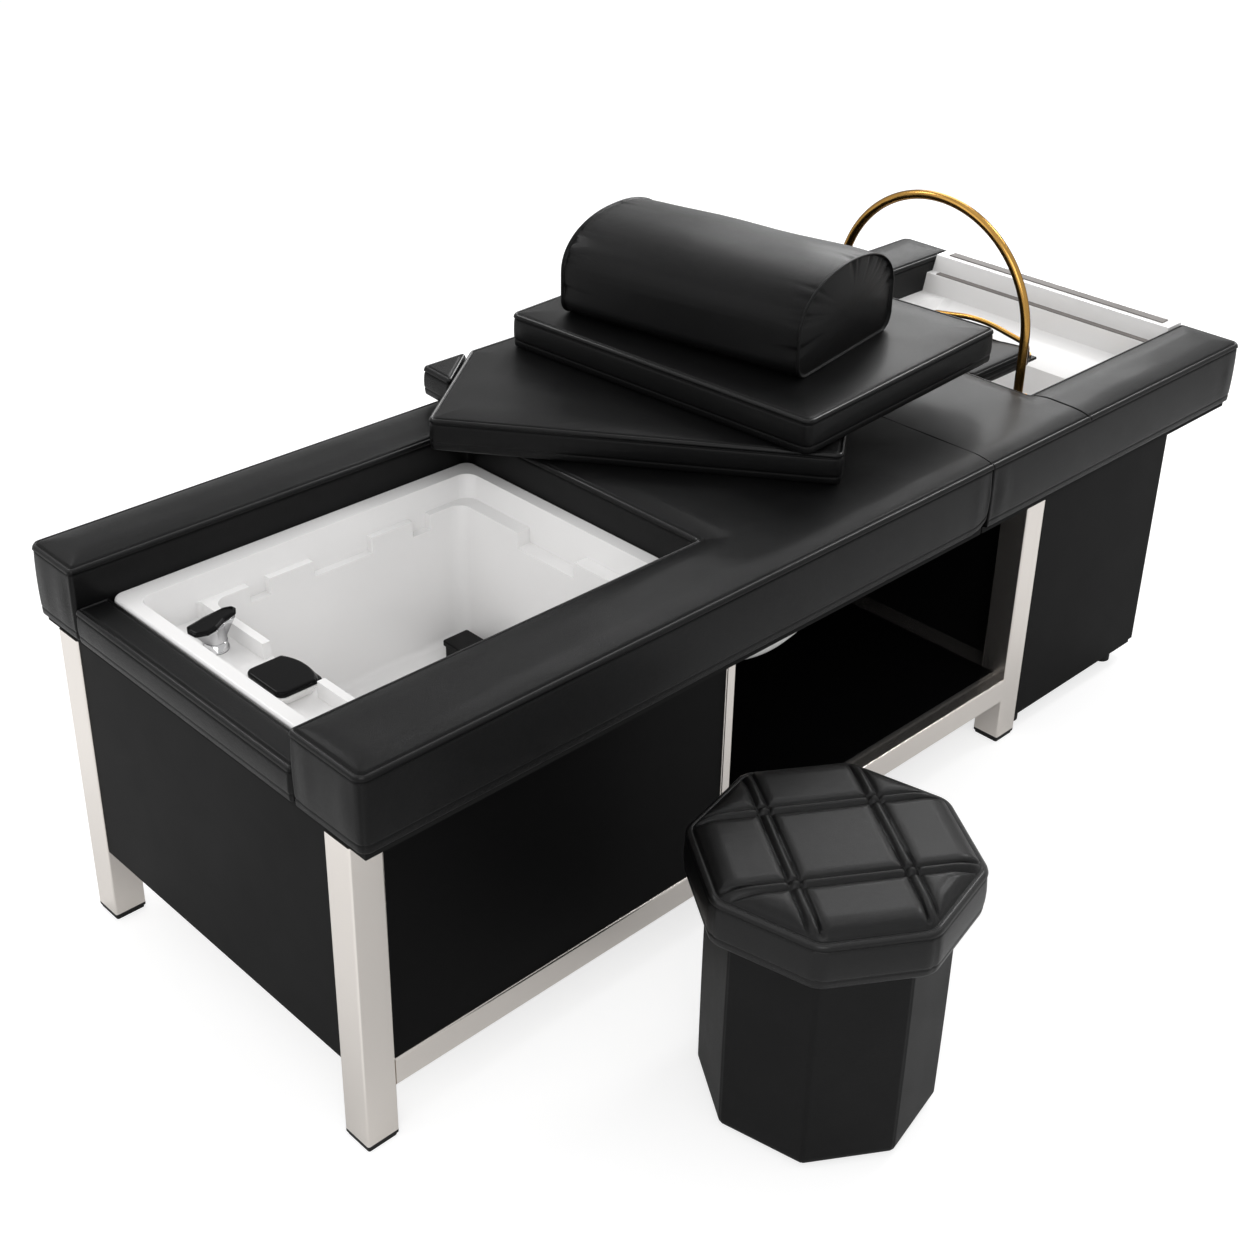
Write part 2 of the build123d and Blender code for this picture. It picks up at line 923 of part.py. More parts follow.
def spout_cover():
    """Black cover plate with a lip that curls down over the water."""
    base = slot_floor_height + spout_height
    x0 = spout_start + spout_edge
    x1 = spout_start + spout_length
    lip = x1 + 2 * spout_lip_drop
    top = base + spout_cover_thickness
    profile = make_face(
        Polyline(
            (x0, base),
            (x1, base),
            (lip, base - spout_lip_drop),
            (lip, base - spout_lip_drop + spout_edge),
            (x1, top),
            (x0, top),
            (x0, base),
        )
    )
    half = spout_width / 2 - spout_edge
    plate = extrude(Plane.XZ * profile, amount=half, both=True)
    return Pos(0, spout_centre_y, 0) * plate


# Drain hose


def well_wall_x(height):
    """Outside of the well's head wall at a height."""
    well_bottom = cavity_floor_height - bath_skin
    rise = (height - well_bottom) / (slot_floor_height - well_bottom)
    return cavity_x1 + bath_skin - cavity_draft * (1 - rise)


def nipple_place():
    """Middle of the nipple's root on the outside of the well's head wall."""
    height = hose_height + nipple_rise
    return Vector(well_wall_x(height), hose_y + nipple_shift, height)


def hose_bends():
    """Inner points of the hose, set out along the bay."""
    points = []
    for along, aside, down in hose_point_shares:
        x = mid_post_end + along * bay_length
        y = hose_y - aside * bay_length
        points.append(Vector(x, y, hose_height - down * bay_length))
    return points


def hose_path():
    """The hose's middle line, slanting from its nipple and sagging before it rises to its clips."""
    root = nipple_place()
    bends = hose_bends()
    start = root + (bends[0] - root).normalized() * nipple_length
    end = Vector(frame_length + cabinet_wall, hose_y, hose_height)
    return FilletPolyline(start, *bends, end, radius=hose_bend_share * bay_length)


def drain_hose():
    """White hose from the bath's nipple to the cabinet's wall."""
    return tube_along(hose_path(), hose_radius, hose_wall)


def hose_holders():
    """Nipple on the bath and the two clips that hang from the deck board."""
    root = nipple_place()
    line = Plane(origin=root, z_dir=hose_bends()[0] - root)
    nipple = line * Cylinder(nipple_radius, 2 * nipple_length)
    nipple = nipple - line * Cylinder(hose_radius - hose_wall, 3 * nipple_length) - bath_outside()
    made = [nipple]
    for place_share in clip_place_shares:
        made.append(hose_clip(mid_post_end + place_share * bay_length))
    return Compound(children=[shape.solid() for shape in made])


def hose_clip(x):
    """A ring round the hose with a foot on the underside of the deck board."""
    inner = hose_radius + fit_gap
    outer = inner + clip_thickness
    centre = Pos(x, hose_y, hose_height) * Rotation(0, 90, 0)
    stem = block(
        (x - clip_width / 2, hose_y - clip_thickness, hose_height + inner),
        (x + clip_width / 2, hose_y + clip_thickness, frame_top),
    )
    foot = block(
        (x - clip_width / 2, hose_y - clip_foot_width / 2, frame_top - clip_thickness),
        (x + clip_width / 2, hose_y + clip_foot_width / 2, frame_top),
    )
    ring = centre * Cylinder(outer, clip_width)
    bore = centre * Cylinder(inner, clip_width + cut_overrun)
    return ring + stem + foot - bore


# Cabinet


def cabinet_shell():
    """Open-headed black box under the basin, with a hole for the hose."""
    x0 = frame_length
    x1 = cabinet_end - door_thickness - door_gap
    outer = block((x0, 0, cabinet_foot_height), (x1, frame_width, frame_top))
    inner = block(
        (x0 + cabinet_wall, cabinet_wall, cabinet_foot_height + cabinet_wall),
        (x1 + cut_overrun, frame_width - cabinet_wall, frame_top + cut_overrun),
    )
    hole = Pos(x0, hose_y, hose_height) * Rotation(0, 90, 0)
    bore = hole * Cylinder(hose_radius + fit_gap, 2 * cabinet_wall + cut_overrun)
    return outer - inner - bore


def cabinet_feet():
    """Four short round feet."""
    made = []
    x0 = frame_length + cabinet_foot_inset
    x1 = cabinet_end - cabinet_foot_inset - door_thickness
    for x in (x0, x1):
        for y in (cabinet_foot_inset, frame_width - cabinet_foot_inset):
            made.append(post(x, y, cabinet_foot_radius, 0, cabinet_foot_height).solid())
    return Compound(children=made)


def cabinet_door():
    """Door that closes the head end, hung on its far edge."""
    return block(
        (cabinet_end - door_thickness, door_gap, cabinet_foot_height + door_gap),
        (cabinet_end, frame_width - door_gap, frame_top - door_top_gap),
    )


def hinge_places():
    """Heights of the two hinges' lower ends."""
    low = cabinet_foot_height + hinge_end_gap
    high = frame_top - hinge_end_gap - hinge_height
    return low, high


def hinge_axis():
    """Plan position of the door's hinge line."""
    return cabinet_end + hinge_barrel_radius, frame_width + hinge_barrel_radius


def hinge_fixed():
    """Leaves on the cabinet's far side with the lower half of each barrel and its pin."""
    x, y = hinge_axis()
    made = []
    for low in hinge_places():
        half = low + hinge_height / 2
        leaf = block(
            (cabinet_end - door_thickness - door_gap - hinge_leaf_width, frame_width, low),
            (x, frame_width + hinge_leaf, half),
        )
        barrel = post(x, y, hinge_barrel_radius, low, half)
        pin = post(x, y, hinge_pin_radius, half, low + hinge_height)
        made.append((leaf + barrel + pin).solid())
    return Compound(children=made)


def hinge_moving():
    """Leaves on the door with the upper half of each barrel."""
    x, y = hinge_axis()
    made = []
    for low in hinge_places():
        half = low + hinge_height / 2 + fit_gap
        top = low + hinge_height
        leaf = block((cabinet_end, y - hinge_leaf_width, half), (cabinet_end + hinge_leaf, y, top))
        barrel = post(x, y, hinge_barrel_radius, half, top)
        bore = post(x, y, hinge_pin_radius + hinge_running_gap, half - cut_overrun, top + cut_overrun)
        made.append((leaf + barrel - bore).solid())
    return Compound(children=made)


# Head basin


basin_x0 = basin_foot_face + fit_gap
basin_x1 = upholstery_length
basin_y0 = near_head_face + fit_gap
basin_y1 = far_inner_face - fit_gap
basin_middle_y = (near_head_face + far_inner_face) / 2
bowl_y0 = near_head_face + bowl_side_margin
bowl_y1 = far_inner_face - bowl_side_margin


def basin_rim():
    """Rim with a skirt that stands on the deck board, and two raised steps at the head end."""
    skirt = rounded_block(
        (basin_x0, basin_y0, pad_base), (basin_x1, basin_y1, basin_rim_height), basin_corner
    )
    pocket = rounded_block(
        (basin_x0 + basin_skin, basin_y0 + basin_skin, pad_base),
        (basin_x1 - basin_skin, basin_y1 - basin_skin, basin_rim_height - basin_skin),
        basin_corner - basin_skin,
    )
    profile = make_face(
        Polyline(
            (bowl_end, basin_rim_height - basin_skin),
            (basin_x1, basin_rim_height - basin_skin),
            (basin_x1, second_step_height),
            (second_step_start + step_slope, second_step_height),
            (second_step_start, first_step_height),
            (bowl_end + step_slope, first_step_height),
            (bowl_end, basin_rim_height),
            (bowl_end, basin_rim_height - basin_skin),
        )
    )
    back = extrude(Plane.XZ * profile, amount=(basin_y1 - basin_y0) / 2, both=True)
    back = Pos(0, (basin_y0 + basin_y1) / 2, 0) * back
    room = block(
        (bowl_end + 2 * basin_skin, basin_y0 + basin_skin, pad_base),
        (basin_x1 - basin_skin, basin_y1 - basin_skin, first_step_height - basin_skin),
    )
    return skirt - pocket + back - room


def bowl_rows(skin):
    """Rows of the bowl from its floor to its rim, grown by a skin."""
    side = bowl_side_draft
    return [
        (
            bowl_start + bowl_foot_draft - skin,
            bowl_floor_end + skin,
            bowl_y0 + side - skin,
            bowl_y1 - side + skin,
            bowl_floor_height - skin,
        ),
        (
            bowl_start + bowl_foot_draft / 4 - skin,
            bowl_step_end + skin,
            bowl_y0 + side / 4 - skin,
            bowl_y1 - side / 4 + skin,
            bowl_step_height - skin,
        ),
        (bowl_start - skin, bowl_end + skin, bowl_y0 - skin, bowl_y1 + skin, basin_rim_height - skin),
    ]


def head_basin():
    """The moulded wash basin: rim, steps and a deep bowl with a sloping back."""
    body = basin_rim() + lofted(bowl_rows(basin_skin), bowl_corner)
    rows = bowl_rows(0)
    x0, x1, y0, y1, height = rows[-1]
    hollow = lofted(rows, bowl_corner)
    hollow = fillet(hollow.faces().sort_by(Axis.Z)[0].edges(), bowl_floor_round / 2)
    mouth = rounded_block((x0, y0, height), (x1, y1, height + basin_skin), bowl_corner)
    waste_x, waste_y = bowl_waste_place()
    low = bowl_floor_height - 2 * basin_skin
    high = bowl_floor_height + cut_overrun
    drain = post(waste_x, waste_y, basin_tail_radius + fit_gap, low, high)
    return body - hollow - mouth - drain


def bowl_waste_place():
    """Centre of the bowl's drain."""
    return (bowl_start + bowl_foot_draft + bowl_floor_end) / 2, basin_middle_y


def basin_waste():
    """Strainer in the bowl and its tail."""
    x, y = bowl_waste_place()
    flange = post(x, y, basin_waste_radius, bowl_floor_height, bowl_floor_height + basin_waste_flange)
    low = bowl_floor_height - basin_tail_length
    tail = post(x, y, basin_tail_radius, low, bowl_floor_height)
    bore = post(x, y, basin_tail_radius - basin_skin, low, bowl_floor_height + basin_waste_flange)
    return flange + tail - bore


def grip_strips():
    """Two grey strips along the raised steps."""
    y0 = basin_y0 + strip_end_margin
    y1 = basin_y1 - strip_end_margin
    lower_middle = (bowl_end + step_slope + second_step_start) / 2
    upper_middle = (second_step_start + step_slope + basin_x1) / 2
    made = []
    for middle, width, height in (
        (lower_middle, lower_strip_width / 2, first_step_height),
        (upper_middle, upper_strip_width, second_step_height),
    ):
        low = (middle - width / 2, y0, height)
        high = (middle + width / 2, y1, height + strip_thickness)
        made.append(block(low, high).solid())
    return Compound(children=made)


# Neck rest


def neck_rest_bracket():
    """Folded bracket on the basin's foot deck that carries the neck rest over the bowl."""
    half = neck_rest_width / 2 - bracket_margin
    y0 = bed_middle_y - half
    y1 = bed_middle_y + half
    top = neck_rest_base - fit_gap
    foot = block(
        (bracket_start, y0, basin_rim_height),
        (bracket_start + bracket_foot, y1, basin_rim_height + bracket_sheet),
    )
    web = block(
        (bracket_start + bracket_foot - bracket_sheet, y0, basin_rim_height),
        (bracket_start + bracket_foot, y1, top),
    )
    tray = block((bracket_start, y0, top - bracket_sheet), (bracket_end, y1, top))
    return foot + web + tray


def neck_rest():
    """Soft black rest, hollowed across for the neck, with rounded corners."""
    half = neck_rest_width / 2
    top = neck_rest_base + neck_rest_height
    low = (neck_rest_start, bed_middle_y - half, neck_rest_base)
    high = (neck_rest_end, bed_middle_y + half, top)
    body = rounded_block(low, high, neck_rest_corner)
    body = fillet(body.faces().sort_by(Axis.Z)[-1].edges(), neck_rest_round)
    dip_radius = (neck_dip_width / 2) ** 2 / (2 * neck_dip) + neck_dip / 2
    middle_x = (neck_rest_start + neck_rest_end) / 2
    dip = Pos(middle_x, bed_middle_y, top - neck_dip + dip_radius) * Rotation(0, 90, 0)
    return body - dip * Cylinder(dip_radius, 2 * neck_rest_length)


# Pipes


def arch_feet():
    """Near and far plan places of the arch's legs."""
    return {"near": bed_middle_y - arch_radius, "far": bed_middle_y + arch_radius}


def arch_pipe():
    """Tall arched pipe over the bowl, folding on a barrel at each foot."""
    feet = arch_feet()
    start = (arch_x, feet["near"], arch_pivot_height)
    end = (arch_x, feet["far"], arch_pivot_height)
    left = (arch_x, feet["near"], arch_centre_height)
    right = (arch_x, feet["far"], arch_centre_height)
    crown = (arch_x, bed_middle_y, arch_centre_height + arch_radius)
    path = Line(start, left) + ThreePointArc(left, crown, right) + Line(right, end)
    ring = Plane(origin=start, z_dir=(0, 0, 1)) * Circle(arch_pipe_radius)
    pipe = sweep(ring, path=Wire(path.edges()))
    for y in feet.values():
        axis = Pos(arch_x, y, arch_pivot_height) * Rotation(90, 0, 0)
        pipe = pipe + axis * Cylinder(arch_barrel_radius, 2 * arch_barrel_half)
    for y in feet.values():
        axis = Pos(arch_x, y, arch_pivot_height) * Rotation(90, 0, 0)
        pipe = pipe - axis * Cylinder(arch_pin_radius + arch_pin_gap, 4 * arch_barrel_half)
    return pipe


def arch_socket(y):
    """Rosette with two ears and a pin for the arch's foot."""
    base = post(arch_x, y, rosette_radius, basin_rim_height, basin_rim_height + rosette_height)
    inner = arch_barrel_half + ear_gap
    outer = inner + ear_thickness
    top = arch_pivot_height + ear_half_width
    socket = base
    for side in (-1, 1):
        low = min(side * inner, side * outer)
        high = max(side * inner, side * outer)
        socket = socket + block(
            (arch_x - ear_half_width, y + low, basin_rim_height),
            (arch_x + ear_half_width, y + high, top),
        )
    pin = Pos(arch_x, y, arch_pivot_height) * Rotation(90, 0, 0) * Cylinder(arch_pin_radius, 2 * outer)
    return socket + pin


def spray_pipe():
    """Low spray pipe behind the neck rest, standing in two collars on the bracket."""
    base = neck_rest_base - fit_gap
    shoulder = base + spray_shoulder_rise
    half_span = neck_rest_width / 2 - bracket_margin - spray_end_margin
    y0 = bed_middle_y - half_span
    y1 = bed_middle_y + half_span
    slope = math.atan2(spray_crown, half_span)
    shoulder_radius = spray_shoulder_share * spray_shoulder_rise / math.tan(math.pi / 4 - slope / 2)
    top_radius = spray_top_share * math.hypot(half_span, spray_crown) / math.tan(slope)
    points = [
        (spray_x, y0, base),
        (spray_x, y0, shoulder),
        (spray_x, bed_middle_y, shoulder + spray_crown),
        (spray_x, y1, shoulder),
        (spray_x, y1, base),
    ]
    path = FilletPolyline(*points, radius=[shoulder_radius, top_radius, shoulder_radius])
    ring = Plane(origin=points[0], z_dir=(0, 0, 1)) * Circle(spray_pipe_radius)
    pipe = sweep(ring, path=path)
    for y in (y0, y1):
        pipe = pipe + post(spray_x, y, spray_collar_radius, base, base + spray_collar_height)
    return pipe


# Loose cushions


def turned(points, x, y, angle):
    """Turn an outline about its own origin and place it in plan."""
    turn = math.radians(angle)
    return [
        (
            x + px * math.cos(turn) - py * math.sin(turn),
            y + px * math.sin(turn) + py * math.cos(turn),
        )
        for px, py in points
    ]


def cover_base():
    """Underside of the bath cover cushion, on the crown of the main pad."""
    return pad_seam_height + pad_crown + fit_gap


def square_base():
    """Underside of the square cushion, on the crown of the cover cushion."""
    return cover_base() + cover_thickness + cushion_crown + fit_gap


def bolster_base():
    """Underside of the bolster, on the crown of the square cushion."""
    return square_base() + square_thickness + cushion_crown + fit_gap


def cover_cushion():
    """Cushion that covers the bath in use, here laid askew on the bed, its two back corners cut off."""
    side = cover_depth - cover_cut_side
    points = [
        (0, 0),
        (cover_width, 0),
        (cover_width, side),
        (cover_width - cover_cut_back, cover_depth),
        (cover_cut_back, cover_depth),
        (0, side),
    ]
    placed = turned(points, cover_corner_x, cover_corner_y, cover_turn)
    base = cover_base()
    return pad(placed, base, base + cover_thickness, cushion_corner, cushion_crown, cushion_crown_reach)


def square_cushion():
    """Nearly square cushion on top of the cover cushion."""
    half_x = square_length / 2
    half_y = square_width / 2
    points = [(-half_x, -half_y), (half_x, -half_y), (half_x, half_y), (-half_x, half_y)]
    placed = turned(points, square_x, square_y, square_turn)
    base = square_base()
    return pad(placed, base, base + square_thickness, cushion_corner, cushion_crown, cushion_crown_reach)


def bolster_section(scale_share):
    """The bolster's section: a flat base, short sides and a round top."""
    half = bolster_width / 2 * scale_share
    side = bolster_side * scale_share
    top = bolster_height * scale_share
    lower = Line((-half, 0), (half, 0))
    right = Line((half, 0), (half, side))
    over = ThreePointArc((half, side), (0, top), (-half, side))
    left = Line((-half, side), (-half, 0))
    face = make_face([lower, right, over, left])
    return fillet(face.vertices().filter_by(lambda v: v.Y < fit_gap), bolster_base_round)


def bolster():
    """Half-round bolster with its ends drawn in by their piping."""
    half = bolster_length / 2
    sections = []
    for place, scale_share in (
        (-half, bolster_end_shrink_share),
        (-half + bolster_end_reach, 1),
        (half - bolster_end_reach, 1),
        (half, bolster_end_shrink_share),
    ):
        plane = Plane(origin=(0, place, 0), x_dir=(-1, 0, 0), z_dir=(0, 1, 0))
        sections.append(plane * bolster_section(scale_share))
    body = loft(sections, ruled=True)
    return Pos(bolster_x, bolster_y, bolster_base()) * Rotation(0, 0, bolster_turn) * body


def corner_pad():
    """Small wedge pad tucked behind the cover cushion at the far side."""
    turn = math.radians(cover_turn + 90)
    along = Vector(math.cos(turn), math.sin(turn))
    away = Vector(-along.Y, along.X) * (2 * fit_gap)
    corner = Vector(cover_corner_x, cover_corner_y)
    first = corner + along * corner_pad_start + away
    last = corner + along * (corner_pad_start + corner_pad_span) + away
    far = cover_corner_y + corner_pad_depth
    points = [
        (first.X, first.Y),
        (last.X, far),
        (cover_corner_x + corner_pad_length, far),
    ]
    base = cover_base()
    return pad(
        points,
        base,
        base + corner_pad_thickness,
        corner_pad_corner,
        corner_pad_crown,
        corner_pad_reach,
        edge=corner_pad_crown,
        draw=fit_gap,
    )


# Stool


def octagon(radius):
    """Plan outline of the stool at a corner radius."""
    step = 2 * math.pi / stool_sides
    phase = math.radians(stool_phase)
    return [
        (
            stool_x + radius * math.cos(phase + step * i),
            stool_y + radius * math.sin(phase + step * i),
        )
        for i in range(stool_sides)
    ]


def stool_body():
    """Eight-sided upholstered body."""
    points = octagon(stool_body_radius)
    top = stool_seam_height - stool_band - fit_gap
    rows = [
        (stool_body_edge / 2, stool_foot_height),
        (0, stool_foot_height + stool_body_edge),
        (0, top),
    ]
    return loft([outline_face(points, inset, stool_corner, height) for inset, height in rows], ruled=True)


def stool_feet():
    """Small feet under the body."""
    made = []
    for x, y in octagon(stool_foot_circle)[::2]:
        made.append(post(x, y, stool_foot_radius, 0, stool_foot_height).solid())
    return Compound(children=made)


def stool_seat():
    """Eight-sided seat with crossed pairs of sewn channels from corner to corner."""
    base = stool_seam_height - stool_band
    seat = pad(
        octagon(stool_seat_radius), base, stool_seam_height, stool_corner, stool_crown, stool_crown_reach
    )
    top = stool_seam_height + stool_crown
    chord = stool_seat_radius * math.cos(math.radians(90 - 180 / stool_sides))
    half = stool_seat_radius * math.cos(math.radians(180 / stool_sides))
    curve = ThreePointArc((-half, stool_seam_height), (0, top - channel_depth), (half, stool_seam_height))
    lid = Polyline(
        (half, stool_seam_height),
        (half, top + cut_overrun),
        (-half, top + cut_overrun),
        (-half, stool_seam_height),
    )
    profile = Plane.XZ * make_face([curve, lid])
    knife = extrude(profile, amount=channel_width / 2, both=True)
    place = Pos(stool_x, stool_y, 0) * Rotation(0, 0, stool_phase + 180 / stool_sides)
    for quarter in (0, 90):
        for side in (-1, 1):
            for twin in (-1, 1):
                offset = side * chord + twin * channel_spacing / 2
                seat = seat - place * Rotation(0, 0, quarter) * Pos(0, offset, 0) * knife
    return seat


def whole_set():
    """Every node of the set by name, in the working frame."""
    feet = arch_feet()
    made = {}
    made.update(legs())
    made.update(mid_posts())
    made.update(rails())
    made.update(panels())
    made["bay_partition"] = bay_partition()
    made["storage_shelf"] = storage_shelf()
    made["cabinet_shell"] = cabinet_shell()
    made["cabinet_feet"] = cabinet_feet()
    made["cabinet_door"] = cabinet_door()
    made["hinge_fixed"] = hinge_fixed()
    made["hinge_moving"] = hinge_moving()
    made["foot_deck_board"] = foot_deck_board()
    made["head_deck_board"] = head_deck_board()
    made["foot_module_pad"] = foot_module_pad()
    made["head_module_pad"] = head_module_pad()
    made["cross_pad"] = cross_pad()
    made["foot_bath"] = foot_bath()
    made["bath_waste"] = bath_waste()
    made["drain_cover"] = drain_cover()
    made["drain_hose"] = drain_hose()
    made["hose_holders"] = hose_holders()
    made["tap_body"] = tap_body()
    made["tap_cartridge"] = tap_cartridge()
    made["tap_lever"] = tap_lever()
    made["spout_body"] = spout_body()
    made["spout_cover"] = spout_cover()
    made["head_basin"] = head_basin()
    made["basin_waste"] = basin_waste()
    made["grip_strips"] = grip_strips()
    made["neck_rest_bracket"] = neck_rest_bracket()
    made["neck_rest"] = neck_rest()
    made["arch_pipe"] = arch_pipe()
    made["arch_socket_near"] = arch_socket(feet["near"])
    made["arch_socket_far"] = arch_socket(feet["far"])
    made["spray_pipe"] = spray_pipe()
    made["cover_cushion"] = cover_cushion()
    made["square_cushion"] = square_cushion()
    made["bolster"] = bolster()
    made["corner_pad"] = corner_pad()
    made["stool_body"] = stool_body()
    made["stool_seat"] = stool_seat()
    made["stool_feet"] = stool_feet()
    return made


def main():
    """Build the set, move its origin under the middle of its box and write one file per node."""
    made = whole_set()
    boxes = [shape.bounding_box() for shape in made.values()]
    middle_x = (min(b.min.X for b in boxes) + max(b.max.X for b in boxes)) / 2
    middle_span_y = (min(b.min.Y for b in boxes) + max(b.max.Y for b in boxes)) / 2
    os.makedirs("parts", exist_ok=True)
    for name, shape in made.items():
        export_step(Pos(-middle_x, -middle_span_y, 0) * shape, f"parts/{name}.step")
    hose_length = hose_path().length
    print(f"{len(made)} nodes, moved by {-middle_x:.3f}, {-middle_span_y:.3f}; hose {hose_length:.0f} long")


if __name__ == "__main__":
    main()
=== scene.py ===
import math

import bmesh
import bpy
import numpy as np
from mathutils import Matrix, Vector


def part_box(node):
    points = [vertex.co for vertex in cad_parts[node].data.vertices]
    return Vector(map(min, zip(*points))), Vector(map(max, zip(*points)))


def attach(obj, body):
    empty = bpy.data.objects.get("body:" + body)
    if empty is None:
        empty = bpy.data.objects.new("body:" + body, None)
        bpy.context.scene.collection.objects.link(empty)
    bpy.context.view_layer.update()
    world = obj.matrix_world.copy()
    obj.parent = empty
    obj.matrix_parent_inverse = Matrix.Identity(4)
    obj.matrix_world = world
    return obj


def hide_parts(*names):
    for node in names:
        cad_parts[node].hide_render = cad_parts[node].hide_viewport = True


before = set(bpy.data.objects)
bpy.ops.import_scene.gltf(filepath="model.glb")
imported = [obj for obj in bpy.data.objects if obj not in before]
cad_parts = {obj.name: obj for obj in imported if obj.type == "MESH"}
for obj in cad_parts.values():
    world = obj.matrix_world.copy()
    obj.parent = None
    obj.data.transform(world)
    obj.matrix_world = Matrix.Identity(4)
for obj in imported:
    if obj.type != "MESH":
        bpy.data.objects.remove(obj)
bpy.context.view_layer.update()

# Hair washing bed with a foot bath, a head basin, loose cushions and a stool.
# Lengths are in metres, in the CAD model's own frame: X to the head end, Y to the far side, Z up.
# A profile's rows and a pad's lines are worked out from these sizes and from the CAD nodes' boxes.

# Camera, as solved from the photograph's corners
camera_place = (-1.9181, -1.5394, 1.8160)
camera_azimuth = 45.25
camera_elevation = 28.41
camera_roll = 1.241
photo_pixels = 1254
focal_pixels = 1822.6
optical_row = 540
sensor_width = 36

# Drain hose: the route's points are the ones in the part's source
hose_diameter = 0.032
hose_points = (
    (-0.31895, 0.06015, 0.43241),
    (-0.21292, -0.03429, 0.37798),
    (-0.01440, -0.04268, 0.41293),
    (0.17783, 0.06706, 0.43600),
    (0.47000, 0.06706, 0.43600),
)

# Points closer than this are one point
merge_distance = 0.00002

# Lines of a pad's grid beside its edges and its seams, and the coarse lines between them
beside_edge = np.array((
    0, 0.001, 0.002, 0.0032, 0.0044, 0.0056, 0.0068, 0.008, 0.0094, 0.0112, 0.014, 0.018, 0.024, 0.034, 0.048,
))
coarse_gap = 0.013

# Rows of a pad's side: distances below its top edge, and above its lower round
below_edge = np.array((0.0008, 0.0016, 0.0024, 0.0032, 0.004, 0.0056, 0.0075, 0.010))
above_base = np.array((0.014, 0.0115, 0.0098, 0.0086, 0.0074, 0.006, 0.003, 0))

# Upholstery, as on every pad
edge_round = 0.0045
stitch_inset = 0.0068
bead_inset = 0.0036
bead_height = 0.0010
bead_width = 0.0015
groove_depth = 0.0022
groove_width = 0.0015
seam_drop = 0.0062
lower_seam_rise = 0.0092
side_draw = 0.0022
swell = 0.0009
lower_round = 0.004
corner_groove_depth = 0.0013
corner_groove_width = 0.0022
pucker_depth = 0.0022
pucker_reach = 0.026
pucker_wave = 0.044
stitch_length = 0.0034
stitch_pitch = 0.0052
stitch_width = 0.0008

# Uneven filling: how many waves are summed, and how their sizes spread
wave_count = 6
wave_size_shares = (0.6, 1.7)

# Upholstery of the bed, and the seam across the near arm at the basin
outer_corner = 0.016
inner_corner = 0.007
joint_corner = 0.002
joint_round = 0.0014
joint_lift = 0.025
joint_lift_run = 0.040
joint_lift_share = 0.7
module_crown = 0.008
module_reach = 0.045
module_wave = 0.16
module_wave_height = 0.0011
cross_corner = 0.006
cross_crown = 0.003
cross_reach = 0.018
arm_seam_x = 0.491

# Loose cushions
cushion_corner = 0.014
cushion_crown = 0.005
cushion_reach = 0.060
cushion_wave = 0.15
cushion_wave_height = 0.0012
cover_size = (0.624, 0.400)
cover_cuts = (0.092, 0.124)
cover_turn = -53.3
cover_place = (-0.385, 0.43906)
square_size = (0.503, 0.606)
square_turn = 4.0
square_place = (0.165, 0.28406)
wedge_corner = 0.006
wedge_crown = 0.003
wedge_reach = 0.009
wedge_start = 0.150
wedge_span = 0.126
wedge_size = (0.126, 0.169)

# Neck rest
rest_corner = 0.024
rest_crown = 0.004
rest_reach = 0.03
rest_dip = 0.012
rest_dip_half = 0.075

# Bolster: its section, its piped ends and the folds that run from the piping
bolster_size = (0.290, 0.446, 0.152)
bolster_side = 0.070
bolster_roundness = 2.2
bolster_turn = 10.0
bolster_place = (0.124, 0.3080)
bolster_base_round = 0.026
bolster_piping = 0.0026
bolster_points = 300
bolster_centre_share = 0.46
cap_edge_share = 0.965
cap_bulge = 0.008
cap_rise = 0.004
cap_dent = 0.0035
cap_dent_share = 0.16
cap_row_shares = (*np.linspace(0, 0.9, 16), 0.93, 0.955, 0.972)
fold_count = 34
fold_strength_shares = (0.3, 1.0)
fold_width_share = 0.006
fold_start = 0.012
fold_rise = 0.02
fold_reach = 0.020
fold_depth_share = 0.020
draw_in_reach = 0.016
draw_in_share = 0.035
behind_piping = (0.006, 0.0075, 0.010, 0.014, 0.020, 0.028, 0.038, 0.055, 0.08, 0.11, 0.15, 0.19, 0.24)
crest_wave = 0.23
crest_wave_height = 0.0012

# Stool
stool_place = (-0.4405, -0.43134)
stool_phase = 34.6
stool_sides = 8
stool_seat_radius = 0.193
stool_crown = 0.017
stool_reach = 0.040
seat_fine_edge = 0.012
seat_corner = 0.034
seat_seam_inset = 0.0095
seat_seam_depth = 0.0019
seat_seam_width = 0.0014
channel_half = 0.0075
channel_depth = 0.0042
channel_width = 0.0013
channel_fade = 0.012
panel_puff = 0.0036
panel_puff_reach = 0.014
stool_body_radius = 0.161
stool_corner = 0.009
stool_body_round = 0.012
stool_body_tuck = 0.010
stool_body_swell = 0.0007

# Points on each corner's arc and on each side of an outline: pads, the stool's seat and small plates
pad_counts = (9, 24)
seat_counts = (7, 62)
plate_counts = (7, 14)

